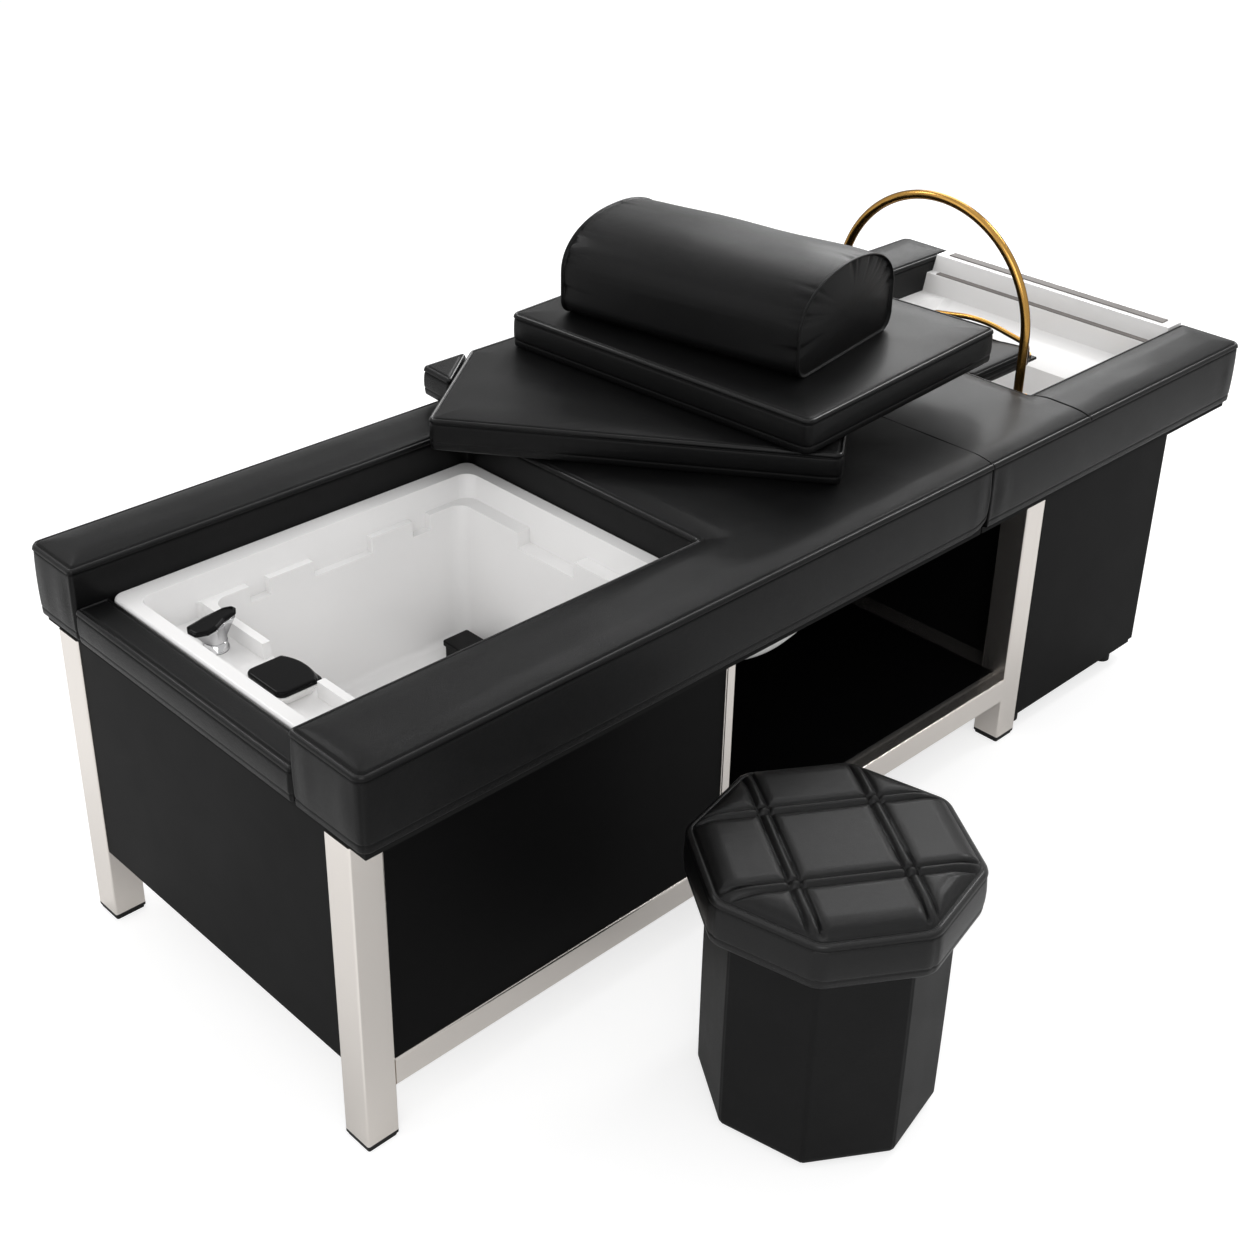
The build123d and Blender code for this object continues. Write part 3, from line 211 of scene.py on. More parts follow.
# Tap lever, set out from the tap's axis, and the tap's neck and foot
lever_outline = np.array((
    (-0.040, 0.001), (-0.038, -0.0150), (-0.022, -0.0220), (-0.006, -0.0190), (0.012, -0.0085),
    (0.033, -0.0045), (0.0375, 0.002), (0.0360, 0.011), (0.026, 0.0165), (-0.004, 0.0165), (-0.035, 0.0105),
))
lever_corner = 0.0045
lever_tail = 0.038
lever_reach = 0.037
lever_tip_drop = 0.0022
lever_under_rise = 0.0046
neck_radius = 0.0165
neck_flare_share = 0.94
neck_foot = 0.0135
neck_overlap = 0.001
foot_ring_radius = 0.0185
foot_ring_height = 0.0035
foot_ring_slope = 0.001
foot_collar = 0.0005

# Spout cover
cover_corner = 0.013
cover_thickness = 0.0085
cover_lip_ends = 0.013
cover_lip_bulge = 0.012
cover_step_width = 0.007
cover_step_drop = 0.0050
cover_curl = 0.0030

# Edges of the lever and the spout cover: how far in each row lies, and how far above its base or
# below its top
lever_low_rows = ((0.0030, 0), (0.0009, 0.0006), (0, 0.0018))
lever_high_rows = ((0, 0.0030), (0.0006, 0.0018), (0.0018, 0.0008), (0.0034, 0.0002), (0.0042, 0))
cover_low_rows = ((0.0024, 0), (0.0006, 0.0006), (0, 0.0016))
cover_high_rows = ((0, 0.0026), (0.0006, 0.0014), (0.0018, 0.0005), (0.0034, 0))

# Rounded edges of the fittings: a facet's flat angle, a sharp edge's angle and the widths
flat_angle = math.radians(0.6)
sharp_angle = math.radians(32)
bath_edge = 0.0028
basin_edge = 0.0035
box_edge = 0.0020
board_edge = 0.0010
bracket_edge = 0.0012
small_edge = 0.0008

# Relief and shine of the leather, the mouldings and the steel
grain_relief = 0.0006
pebble_wobble = 0.0016
smudge_relief = 0.0004
hose_relief = 0.0005
brush_relief = 0.0001
grain_size = 620.0
leather_dark_share = 0.8
leather_gloss_spread = 0.02
smudge_gloss = 0.04
brush_gloss = 0.012
leather_shine = 0.14
leather_coat = 0.05
leather_coat_roughness = 0.16
bead_coat = 0.75
steel_metal_share = 0.97

# Stage: the floor and the room are as bright as they have to be for the camera, in mirrors and as light
floor_size = 14
floor_roughness = 0.9
floor_seen = (0.50, 0.50, 0.50)
floor_in_mirrors = (0.60, 0.60, 0.60)
floor_glow = 0.70
floor_glow_in_mirrors = (0.33, 0.15)
floor_glow_ends = (-1.15, -0.95)
room_light = 0.66
room_seen = 1.0
room_in_mirrors = 0.60
lamp_aim = (0, 0, 0.4)


# Shader helpers


def new_material(name):
    """A material with its tree and its Principled shader."""
    material = bpy.data.materials.new(name)
    material.use_nodes = True
    return material, material.node_tree, material.node_tree.nodes["Principled BSDF"]


def add_node(tree, kind, **settings):
    """A shader node with some of its properties set."""
    node = tree.nodes.new(kind)
    for key, value in settings.items():
        setattr(node, key, value)
    return node


def feed(tree, node, values):
    """Give a node's inputs numbers, colours or the outputs of other nodes."""
    for label, value in values.items():
        if isinstance(value, bpy.types.NodeSocket):
            tree.links.new(value, node.inputs[label])
        else:
            node.inputs[label].default_value = value


def group_tree(name, inputs, outputs):
    """An empty node group with a vector and named values going in and named values coming out."""
    tree = bpy.data.node_groups.new(name, "ShaderNodeTree")
    tree.interface.new_socket("Vector", in_out="INPUT", socket_type="NodeSocketVector")
    for label, value in inputs.items():
        socket = tree.interface.new_socket(label, in_out="INPUT", socket_type="NodeSocketFloat")
        socket.default_value = value
    for label in outputs:
        tree.interface.new_socket(label, in_out="OUTPUT", socket_type="NodeSocketFloat")
    return tree, tree.nodes.new("NodeGroupInput"), tree.nodes.new("NodeGroupOutput")


def maths(tree, operation, first, second=0.0):
    """A Math node fed by sockets or numbers; it returns its output socket."""
    node = add_node(tree, "ShaderNodeMath", operation=operation)
    feed(tree, node, {0: first, 1: second})
    return node.outputs[0]


def noise(tree, vector, scale, detail, roughness, distortion=0.0):
    """A Noise Texture's value output."""
    node = add_node(tree, "ShaderNodeTexNoise")
    feed(tree, node, {"Vector": vector, "Scale": scale, "Detail": detail})
    feed(tree, node, {"Roughness": roughness, "Distortion": distortion})
    return node.outputs["Fac"]


def remap(tree, value, low, high, new_low=0.0, new_high=1.0):
    """A clamped Map Range of a value."""
    node = add_node(tree, "ShaderNodeMapRange", clamp=True)
    feed(tree, node, {"Value": value, "From Min": low, "From Max": high})
    feed(tree, node, {"To Min": new_low, "To Max": new_high})
    return node.outputs["Result"]


def make_leather_group():
    """Grain and creases of smooth upholstery leather: a height and a mask of the polished patches.

    The grain is pebbles, cells whose edges a fine noise bends, with a finer noise on them. The
    creases are the narrow valleys where a stretched noise crosses its middle, and lie in patches.
    """
    values = {"Grain Size": grain_size, "Grain": 0.5, "Crease": 0.5}
    tree, entry, leave = group_tree("leather_grain", values, ("Height", "Polish"))
    vector = entry.outputs["Vector"]
    wobble = add_node(tree, "ShaderNodeTexNoise")
    feed(tree, wobble, {"Vector": vector, "Scale": 260.0, "Detail": 2.0})
    shrink = add_node(tree, "ShaderNodeVectorMath", operation="SCALE")
    feed(tree, shrink, {0: wobble.outputs["Color"], "Scale": pebble_wobble})
    bent = add_node(tree, "ShaderNodeVectorMath", operation="ADD")
    feed(tree, bent, {0: vector, 1: shrink.outputs[0]})
    cells = add_node(tree, "ShaderNodeTexVoronoi", feature="DISTANCE_TO_EDGE")
    feed(tree, cells, {"Vector": bent.outputs[0], "Scale": entry.outputs["Grain Size"]})
    pebble = remap(tree, cells.outputs["Distance"], 0.0, 0.16)
    fine = noise(tree, vector, scale=1500.0, detail=2.0, roughness=0.6)
    grain = maths(tree, "ADD", maths(tree, "MULTIPLY", pebble, 0.7), maths(tree, "MULTIPLY", fine, 0.5))
    grain = maths(tree, "MULTIPLY", grain, entry.outputs["Grain"])
    stretch = add_node(tree, "ShaderNodeMapping")
    slant = (0.0, 0.0, math.radians(25))
    feed(tree, stretch, {"Vector": vector, "Scale": (1.0, 0.45, 1.0), "Rotation": slant})
    wrinkles = noise(tree, stretch.outputs[0], scale=60.0, detail=4.0, roughness=0.55, distortion=0.8)
    ridge = remap(tree, maths(tree, "ABSOLUTE", maths(tree, "SUBTRACT", wrinkles, 0.5)), 0.0, 0.030)
    patches = remap(tree, noise(tree, vector, scale=7.0, detail=2.0, roughness=0.5), 0.36, 0.72)
    crease = maths(tree, "MULTIPLY", maths(tree, "SUBTRACT", ridge, 1.0), patches)
    crease = maths(tree, "MULTIPLY", crease, entry.outputs["Crease"])
    broad = maths(tree, "MULTIPLY", noise(tree, vector, scale=18.0, detail=2.0, roughness=0.5), 0.9)
    height = maths(tree, "ADD", maths(tree, "ADD", grain, crease), broad)
    shine = noise(tree, vector, scale=11.0, detail=4.0, roughness=0.6)
    feed(tree, leave, {"Height": height, "Polish": remap(tree, shine, 0.35, 0.65)})
    return tree


def make_smudge_group():
    """Faint smudges and dust: a mask that varies slowly with fine specks in it."""
    tree, entry, leave = group_tree("smudges", {"Size": 9.0}, ("Mask",))
    vector = entry.outputs["Vector"]
    slow = noise(tree, vector, scale=entry.outputs["Size"], detail=4.0, roughness=0.6, distortion=0.4)
    specks = noise(tree, vector, scale=700.0, detail=1.0, roughness=0.5)
    mask = maths(tree, "ADD", maths(tree, "MULTIPLY", slow, 0.85), maths(tree, "MULTIPLY", specks, 0.15))
    feed(tree, leave, {"Mask": remap(tree, mask, 0.32, 0.68)})
    return tree


def make_brushed_group():
    """Fine lines of brushed steel, drawn out along the direction in which the vector is scaled down."""
    tree, entry, leave = group_tree("brushed_lines", {"Size": 1.0}, ("Lines",))
    lines = noise(tree, entry.outputs["Vector"], scale=entry.outputs["Size"], detail=3.0, roughness=0.65)
    feed(tree, leave, {"Lines": remap(tree, lines, 0.30, 0.70)})
    return tree


leather_group = make_leather_group()
smudge_group = make_smudge_group()
brushed_group = make_brushed_group()


def place_group(tree, group, vector, **values):
    """A node group in a material, fed by a vector and given its own values."""
    node = add_node(tree, "ShaderNodeGroup", node_tree=group)
    tree.links.new(vector, node.inputs["Vector"])
    for label, value in values.items():
        node.inputs[label.replace("_", " ")].default_value = value
    return node


def object_vector(tree):
    """Object coordinates."""
    return add_node(tree, "ShaderNodeTexCoord").outputs["Object"]


def smudges(tree, vector, size):
    """The mask of the smudges at a size."""
    return place_group(tree, smudge_group, vector, Size=size).outputs["Mask"]


def bump(tree, height, strength, distance):
    """The normal of a Bump node that a height feeds."""
    node = add_node(tree, "ShaderNodeBump")
    feed(tree, node, {"Strength": strength, "Distance": distance, "Height": height})
    return node.outputs["Normal"]


def darker(colour, share):
    """A share of a colour."""
    return tuple(share * part for part in colour)


def mix_colours(tree, mask, low, high):
    """A colour between two colours by a mask. The low one may be another node's output."""
    node = add_node(tree, "ShaderNodeMix", data_type="RGBA")
    if not isinstance(low, bpy.types.NodeSocket):
        low = (*low, 1)
    # A Mix node's colours are its inputs 6 and 7 and its output 2
    feed(tree, node, {0: mask, 6: low, 7: (*high, 1)})
    return node.outputs[2]


def leather(name, colour, roughness, grain, crease, shine=leather_shine):
    """Black upholstery leather with fine grain, creases in patches and a slightly uneven polish.

    The bead beside a seam has more coat, as it is rubbed smooth.
    """
    material, tree, shader = new_material(name)
    vector = object_vector(tree)
    skin = place_group(tree, leather_group, vector, Grain_Size=grain_size, Grain=grain, Crease=crease)
    polish = skin.outputs["Polish"]
    dull = roughness + leather_gloss_spread
    glossy = roughness - leather_gloss_spread
    bead = add_node(tree, "ShaderNodeAttribute", attribute_name="bead").outputs["Fac"]
    feed(tree, shader, {
        "Base Color": mix_colours(tree, polish, darker(colour, leather_dark_share), colour),
        "Roughness": remap(tree, polish, 0.0, 1.0, dull, glossy),
        "Specular IOR Level": shine,
        "Coat Weight": maths(tree, "ADD", maths(tree, "MULTIPLY", bead, bead_coat), leather_coat),
        "Coat Roughness": leather_coat_roughness,
        "Normal": bump(tree, skin.outputs["Height"], strength=0.7, distance=grain_relief),
    })
    return material


def plastic(name, colour, roughness, speckle=0.06, shine=0.5):
    """Moulded plastic, rubber or lacquer with faint smudges in its colour and its gloss."""
    material, tree, shader = new_material(name)
    mask = smudges(tree, object_vector(tree), 9.0)
    feed(tree, shader, {
        "Base Color": mix_colours(tree, mask, darker(colour, 1 - speckle), colour),
        "Roughness": remap(tree, mask, 0.0, 1.0, roughness + smudge_gloss, roughness),
        "Specular IOR Level": shine,
        "Normal": bump(tree, mask, strength=0.08, distance=smudge_relief),
    })
    return material


def steel(name, stretch, colour, roughness):
    """Satin stainless steel, brushed along one axis."""
    material, tree, shader = new_material(name)
    vector = object_vector(tree)
    mapping = add_node(tree, "ShaderNodeMapping")
    feed(tree, mapping, {"Vector": vector, "Scale": stretch})
    lines = place_group(tree, brushed_group, mapping.outputs[0], Size=1.0).outputs["Lines"]
    feed(tree, shader, {
        "Base Color": mix_colours(tree, smudges(tree, vector, 5.0), darker(colour, 0.97), colour),
        "Metallic": steel_metal_share,
        "Roughness": remap(tree, lines, 0.0, 1.0, roughness - brush_gloss, roughness + brush_gloss),
        "Normal": bump(tree, lines, strength=0.01, distance=brush_relief),
    })
    return material


def polished(name, colour, roughness, painted_dark_reflection):
    """Polished metal with faint smudges and a painted dark reflection: it darkens to a dark colour where it
    turns away.
    """
    material, tree, shader = new_material(name)
    mask = smudges(tree, object_vector(tree), 30.0)
    face = mix_colours(tree, mask, darker(colour, 0.90), colour)
    # Painted reflection: the facing mask darkens the edges that turn away, as if they mirrored dark
    # surroundings
    away = add_node(tree, "ShaderNodeLayerWeight").outputs["Facing"]
    feed(tree, shader, {
        "Base Color": mix_colours(tree, remap(tree, away, 0.30, 0.75), face, painted_dark_reflection),
        "Metallic": 1.0,
        "Roughness": remap(tree, mask, 0.0, 1.0, roughness + 0.06, roughness),
    })
    return material


def hose_wall(name):
    """Matt white hose wall with faint smudges."""
    material, tree, shader = new_material(name)
    mask = smudges(tree, object_vector(tree), 24.0)
    feed(tree, shader, {
        "Base Color": mix_colours(tree, mask, (0.80, 0.80, 0.79), (0.90, 0.90, 0.89)),
        "Roughness": 0.42,
        "Normal": bump(tree, mask, strength=0.15, distance=hose_relief),
    })
    return material


black = (0.0040, 0.0040, 0.0042)
gloss_black = (0.003, 0.003, 0.0032)
warm_steel = (0.90, 0.85, 0.80)
pad_leather = leather("pad_leather", black, 0.34, 0.42, 0.26)
cushion_leather = leather("cushion_leather", black, 0.33, 0.40, 0.30)
stool_leather = leather("stool_leather", black, 0.31, 0.38, 0.20, shine=0.28)
base_leather = leather("stool_body_leather", black, 0.46, 0.45, 0.10)
# The thread is lighter than the leather: partly its own dark grey, partly a painted highlight along the seams
thread_and_highlight = plastic("stitch_thread_and_painted_highlight", (0.022, 0.022, 0.0225), 0.50, shine=0.4)
white_shell = plastic("white_moulding", (0.88, 0.873, 0.868), 0.14, speckle=0.01)
hose_white = hose_wall("hose_white")
black_gloss = plastic("black_gloss_plastic", gloss_black, 0.20, shine=0.10)
black_matt = plastic("black_rubber", (0.010, 0.010, 0.010), 0.6, shine=0.3)
neck_rubber = plastic("neck_rest_skin", (0.004, 0.004, 0.0043), 0.36, shine=0.08)
panel_black = plastic("panel_black", (0.0032, 0.0032, 0.0033), 0.42, shine=0.05)
board_black = plastic("deck_board_cloth", (0.008, 0.008, 0.008), 0.85, shine=0.2)
shelf_gloss = plastic("shelf_lacquer", gloss_black, 0.12, shine=0.12)
strip_grey = plastic("grip_strip_rubber", (0.16, 0.145, 0.135), 0.55, speckle=0.25)
metal_black = plastic("bracket_black", (0.004, 0.004, 0.004), 0.35, shine=0.08)
# The last colour of each polished metal is its painted dark reflection, where it turns away
chrome = polished("tap_chrome_painted_reflection", (0.80, 0.80, 0.81), 0.05, (0.20, 0.20, 0.21))
gold = polished("gold_pipe_painted_reflection", (0.66, 0.37, 0.095), 0.20, (0.16, 0.07, 0.012))
steel_x = steel("steel_along_x", (14, 900, 900), warm_steel, 0.26)
steel_y = steel("steel_along_y", (900, 14, 900), warm_steel, 0.26)
steel_z = steel("steel_upright", (900, 900, 14), warm_steel, 0.26)


# Mesh helpers


def add_piece(name, data, dressing):
    """A piece made from a mesh or a curve.

    Its dressing is its body, its slot (not used), its material and the nodes that it stands for.
    """
    body, slot_name, material, *replaced = dressing
    piece = bpy.data.objects.new(name, data)
    bpy.context.scene.collection.objects.link(piece)
    data.materials.clear()
    data.materials.append(material)
    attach(piece, body)
    if replaced:
        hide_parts(*replaced)
    return piece


def shade_smooth(mesh):
    """Smooth shading on every face of a mesh."""
    mesh.polygons.foreach_set("use_smooth", np.ones(len(mesh.polygons), bool))


def finish_piece(name, points, faces, dressing, bead=None):
    """A smooth mesh piece from points and faces, with doubles merged and its faces outwards.

    Each point's share of the bead beside a seam is kept as an attribute for the leather.
    """
    mesh = bpy.data.meshes.new(name)
    mesh.from_pydata(points, [], faces)
    if bead is not None:
        attribute = mesh.attributes.new("bead", "FLOAT", "POINT")
        attribute.data.foreach_set("value", np.ascontiguousarray(bead, np.float32))
    work = bmesh.new()
    work.from_mesh(mesh)
    bmesh.ops.remove_doubles(work, verts=work.verts, dist=merge_distance)
    bmesh.ops.recalc_face_normals(work, faces=work.faces)
    work.to_mesh(mesh)
    work.free()
    shade_smooth(mesh)
    return add_piece(name, mesh, dressing)


def strip_faces(rows):
    """Quads between neighbouring rows of vertex numbers; each row is a closed loop."""
    low = rows[:-1]
    high = rows[1:]
    quads = np.stack([low, np.roll(low, -1, axis=1), np.roll(high, -1, axis=1), high], axis=-1)
    return quads.reshape(-1, 4)


def row_piece(name, plan, height, dressing, bead=None):
    """A piece whose skin runs between neighbouring rows of plan points with their heights."""
    height = np.broadcast_to(height, plan.shape[:2])
    points = np.concatenate([plan, height[..., None]], axis=-1).reshape(-1, 3)
    numbers = np.arange(height.size).reshape(height.shape)
    if bead is not None:
        bead = np.broadcast_to(bead, height.shape).ravel()
    return finish_piece(name, points, strip_faces(numbers).tolist(), dressing, bead)


def slow_waves(x, y, seed, size, height):
    """Uneven filling: a sum of sines in turned directions, of about one wave per size."""
    draw = np.random.default_rng(seed)
    total = np.zeros_like(x)
    for _ in range(wave_count):
        angle = draw.uniform(0, 2 * math.pi)
        pitch = 2 * math.pi / (size * draw.uniform(*wave_size_shares))
        phase = draw.uniform(0, 2 * math.pi)
        total += np.sin((x * math.cos(angle) + y * math.sin(angle)) * pitch + phase)
    return total * height / wave_count


def groove(distance, width):
    """A rounded groove's share of its depth at a distance from its line."""
    return np.exp(-((distance / width) ** 2))


def bead_share(depth):
    """The share of the bead beside a seam at a depth inside the edge."""
    return groove(depth - bead_inset, bead_width)


def around(angle):
    """Points on a circle of radius one at angles."""
    return np.stack([np.cos(angle), np.sin(angle)], axis=-1)


def follow(outline):
    """Each point's way along a closed outline, the outline's length and its outward normals."""
    ahead = np.roll(outline, -1, axis=0)
    run = np.linalg.norm(ahead - outline, axis=1)
    tangent = ahead - np.roll(outline, 1, axis=0)
    tangent /= np.linalg.norm(tangent, axis=1)[:, None]
    outward = np.stack([tangent[:, 1], -tangent[:, 0]], axis=1)
    return np.concatenate([[0], np.cumsum(run)[:-1]]), run.sum(), outward


def stitches(name, path, level, body, wanted=None):
    """A row of stitches along a closed path: each one is a small lozenge, long along the path."""
    ahead = np.roll(path, -1, axis=0) - path
    run = np.linalg.norm(ahead, axis=1)
    total = np.concatenate([[0], np.cumsum(run)])
    count = int(total[-1] / stitch_pitch)
    places = (np.arange(count) + 0.5) * total[-1] / count
    closed = np.vstack([path, path[:1]])
    x = np.interp(places, total, closed[:, 0])
    y = np.interp(places, total, closed[:, 1])
    if wanted is not None:
        chosen = wanted(x)
        count = int(chosen.sum())
        x, y, places = x[chosen], y[chosen], places[chosen]
    step = np.searchsorted(total, places) - 1
    tangent = ahead[step] / run[step][:, None]
    side = np.stack([-tangent[:, 1], tangent[:, 0]], axis=1)
    middle = np.stack([x, y, np.full(count, level)], axis=1)
    along = np.pad(tangent, ((0, 0), (0, 1))) * stitch_length / 2
    across = np.pad(side, ((0, 0), (0, 1))) * stitch_width / 2
    lift = np.zeros_like(middle)
    lift[:, 2] = stitch_width / 2
    spread = np.stack([along, across, -along, -across, lift, -lift], axis=1)
    upper = [(0, 1, 4), (1, 2, 4), (2, 3, 4), (3, 0, 4)]
    lower = [(1, 0, 5), (2, 1, 5), (3, 2, 5), (0, 3, 5)]
    faces = (np.array(upper + lower) + 6 * np.arange(count)[:, None, None]).reshape(-1, 3)
    mesh = bpy.data.meshes.new(name)
    mesh.from_pydata((middle[:, None] + spread).reshape(-1, 3), [], faces)
    add_piece(name, mesh, (body, "black_leather", thread_and_highlight))


def inset_path(points, inset, radius, per_corner=pad_counts[0], per_side=pad_counts[1]):
    """A closed outline moved inwards, with rounded corners, as one array of points.

    Each side is moved along its own normal, so a corner moves to where its two moved sides
    meet. An outer corner's radius shrinks by the inset and an inner corner's grows by it. Every
    corner has the same number of points on its arc and every side the same number between.
    """
    points = np.asarray(points, float)
    before = points - np.roll(points, 1, axis=0)
    after = np.roll(points, -1, axis=0) - points
    first = before / np.linalg.norm(before, axis=1)[:, None]
    second = after / np.linalg.norm(after, axis=1)[:, None]
    first_normal = np.stack([-first[:, 1], first[:, 0]], axis=1)
    second_normal = np.stack([-second[:, 1], second[:, 0]], axis=1)
    bend = 1 + np.sum(first_normal * second_normal, axis=1)
    toward = (first_normal + second_normal) / bend[:, None]
    corner = points + toward * inset
    turn = np.arctan2(first[:, 0] * second[:, 1] - first[:, 1] * second[:, 0], np.sum(first * second, axis=1))
    radii = np.broadcast_to(np.asarray(radius, float), len(points))
    radii = np.where(turn > 0, np.maximum(radii - inset, radii / 5), radii / 2 + inset)
    signed = np.where(turn > 0, radii, -radii)
    centre = corner + toward * signed[:, None]
    start = np.arctan2(-first_normal[:, 1] * np.sign(signed), -first_normal[:, 0] * np.sign(signed))
    angle = start[:, None] + turn[:, None] * np.linspace(0, 1, per_corner)
    arcs = centre[:, None] + np.abs(signed)[:, None, None] * around(angle)
    step = np.linspace(0, 1, per_side + 2)[1:-1]
    ease = 0.5 - 0.5 * np.cos(math.pi * step)
    leave = arcs[:, -1]
    reach = np.roll(arcs[:, 0], -1, axis=0)
    sides = leave[:, None] + (reach - leave)[:, None] * ease[None, :, None]
    return np.concatenate([arcs, sides], axis=1).reshape(-1, 2)


def box_plan(low, high):
    """The four plan corners of a box, against the clock."""
    return [(low[0], low[1]), (high[0], low[1]), (high[0], high[1]), (low[0], high[1])]


def edge_drop(depth, radius):
    """How far a quarter round of a radius lies below its top at a depth inside the edge."""
    inside = np.clip(1 - depth / radius, 0, 1)
    return radius * (1 - np.sqrt(1 - inside**2))


def rise_to(depth, reach):
    """A parabola that rises from nothing at the edge to one at its reach and stays there."""
    return 1 - (1 - np.clip(depth / reach, 0, 1)) ** 2


def top_profile(depth, seam, crown, reach):
    """Height of a pad's top at a depth inside its outline.

    The edge is a quarter round, a bead and a stitched groove follow it, and beyond them the
    filling rises as a parabola to the full crown.
    """
    seams = bead_height * bead_share(depth) - groove_depth * groove(depth - stitch_inset, groove_width)
    return seam + crown * rise_to(depth, reach) - edge_drop(depth, edge_round) + seams


def stitch_level(seam, crown, reach):
    """Height at which a pad's stitches lie."""
    return float(top_profile(stitch_inset, seam, crown, reach)) + stitch_width / 4


def side_rows(base, seam):
    """Rows of a pad's side from its top edge down: how far inside the outline, and how high.

    The side draws in towards both seams as a parabola, has a seam groove below the top edge
    and a fainter one above the base, and turns under in a quarter round.
    """
    low = base + lower_round
    near_top = seam - edge_round - below_edge
    middle = np.linspace(near_top[-1], low + above_base[0], 8)[1:-1]
    turn = np.linspace(0, math.pi / 2, 5)[1:]
    under = low - lower_round * np.sin(turn)
    height = np.concatenate([near_top, middle, low + above_base, under])
    share = np.clip((height - base) / (seam - base), 0, 1)
    inset = side_draw * (2 * share - 1) ** 2 - swell * (1 - (2 * share - 1) ** 2)
    inset += groove_depth * groove(height - (seam - seam_drop), groove_width)
    inset += groove_depth / 2 * groove(height - (low + lower_seam_rise), groove_width)
    inset[-len(turn):] += lower_round * (1 - np.cos(turn))
    return inset, height


def middle_share(height, base, seam):
    """Half a sine over a side's height: nothing at both seams and one midway."""
    return np.sin(math.pi * np.clip((height - base) / (seam - base), 0, 1))


def corner_dents(outline, corners, share, fold_depth, dent_depth):
    """How each row of a side moves inwards at its corners, as plan vectors.

    A seam runs down every corner as a groove, and puckers beside it die away along the
    outline. The shares say how strongly each row has them.
    """
    place, total, outward = follow(outline)
    gap = np.abs(place[:, None] - place[corners])
    gap = np.minimum(gap, total - gap).min(axis=1)
    pucker = np.sin(gap * 2 * math.pi / pucker_wave) * np.exp(-gap / pucker_reach)
    in_by = fold_depth * groove(gap, corner_groove_width) * np.minimum(share * 3, 1)[:, None]
    in_by = in_by + dent_depth * pucker * share[:, None]
    return outward * in_by[..., None]


# Upholstery of the bed, as grids over its plan


def grid_lines(low, high, marks):
    """Grid lines from low to high, close together beside both ends and beside each mark."""
    near = [low + beside_edge, high - beside_edge]
    for mark in marks:
        near += [mark + beside_edge, mark - beside_edge]
    near = np.round(np.concatenate(near), 6)
    near = np.unique(near[(near >= round(low, 6)) & (near <= round(high, 6))])
    filled = [near]
    for start, end in zip(near[:-1], near[1:]):
        if end - start > coarse_gap:
            filled.append(np.linspace(start, end, int((end - start) / coarse_gap) + 2)[1:-1])
    return np.unique(np.concatenate(filled))


def round_outer(x, y, corner, inward, radius):
    """Bend the square lines beside an outer corner into arcs about one centre.

    A point's smaller distance from the two edges keeps its line, and its place along that
    line from the diagonal becomes its angle on the arc.
    """
    a = (x - corner[0]) * inward[0]
    b = (y - corner[1]) * inward[1]
    depth = np.minimum(a, b)
    along = np.abs(a - b)
    left = radius - depth
    hit = (depth >= -merge_distance) & (left > merge_distance) & (along < left)
    angle = math.pi / 4 * (1 - along[hit] / left[hit])
    longer = radius - left[hit] * np.sin(angle)
    shorter = radius - left[hit] * np.cos(angle)
    first = a[hit] >= b[hit]
    x[hit] = corner[0] + inward[0] * np.where(first, longer, shorter)
    y[hit] = corner[1] + inward[1] * np.where(first, shorter, longer)


def round_inner(x, y, corner, inward, radius):
    """Bend the square lines round an inner corner into arcs that shrink away with distance."""
    a = (x - corner[0]) * inward[0]
    b = (y - corner[1]) * inward[1]
    depth = np.maximum(a, b)
    along = depth - np.minimum(a, b)
    arc = radius * np.clip(1 - depth / module_reach, 0, 1)
    hit = (depth >= -merge_distance) & (arc > merge_distance) & (along < arc)
    angle = math.pi / 4 * (1 - along[hit] / arc[hit])
    shorter = depth[hit] - arc[hit] * (1 - np.sin(angle))
    longer = depth[hit] - arc[hit] * (1 - np.cos(angle))
    first = a[hit] <= b[hit]
    x[hit] = corner[0] + inward[0] * np.where(first, shorter, longer)
    y[hit] = corner[1] + inward[1] * np.where(first, longer, shorter)


def module_outline(low, high, notch):
    """Corners of a U outline, against the clock, with each corner's radius, and its inner corners.

    The notch opens either to the foot end or to the head end.
    """
    if notch[0] <= low[0]:
        places = [
            (low[0], low[1]), (high[0], low[1]), (high[0], high[1]), (low[0], high[1]),
            (low[0], notch[3]), (notch[1], notch[3]), (notch[1], notch[2]), (low[0], notch[2]),
        ]
        radii = [outer_corner, joint_corner, joint_corner, outer_corner]
        radii += [outer_corner / 2, inner_corner, inner_corner, outer_corner / 2]
        inner = (5, 6)
    else:
        places = [
            (low[0], low[1]), (high[0], low[1]), (high[0], notch[2]), (notch[0], notch[2]),
            (notch[0], notch[3]), (high[0], notch[3]), (high[0], high[1]), (low[0], high[1]),
        ]
        radii = [joint_corner, outer_corner, outer_corner / 2, inner_corner]
        radii += [inner_corner, outer_corner / 2, outer_corner, joint_corner]
        inner = (3, 4)
    return places, radii, inner


def bend_corners(x, y, places, radii, inner):
    """Bend a grid's square lines round every corner of an outline."""
    for i, place in enumerate(places):
        before = np.subtract(places[i - 1], place)
        after = np.subtract(places[(i + 1) % len(places)], place)
        inward = np.sign(before + after)
        if i in inner:
            round_inner(x, y, place, -inward, radii[i])
        else:
            round_outer(x, y, place, inward, radii[i])


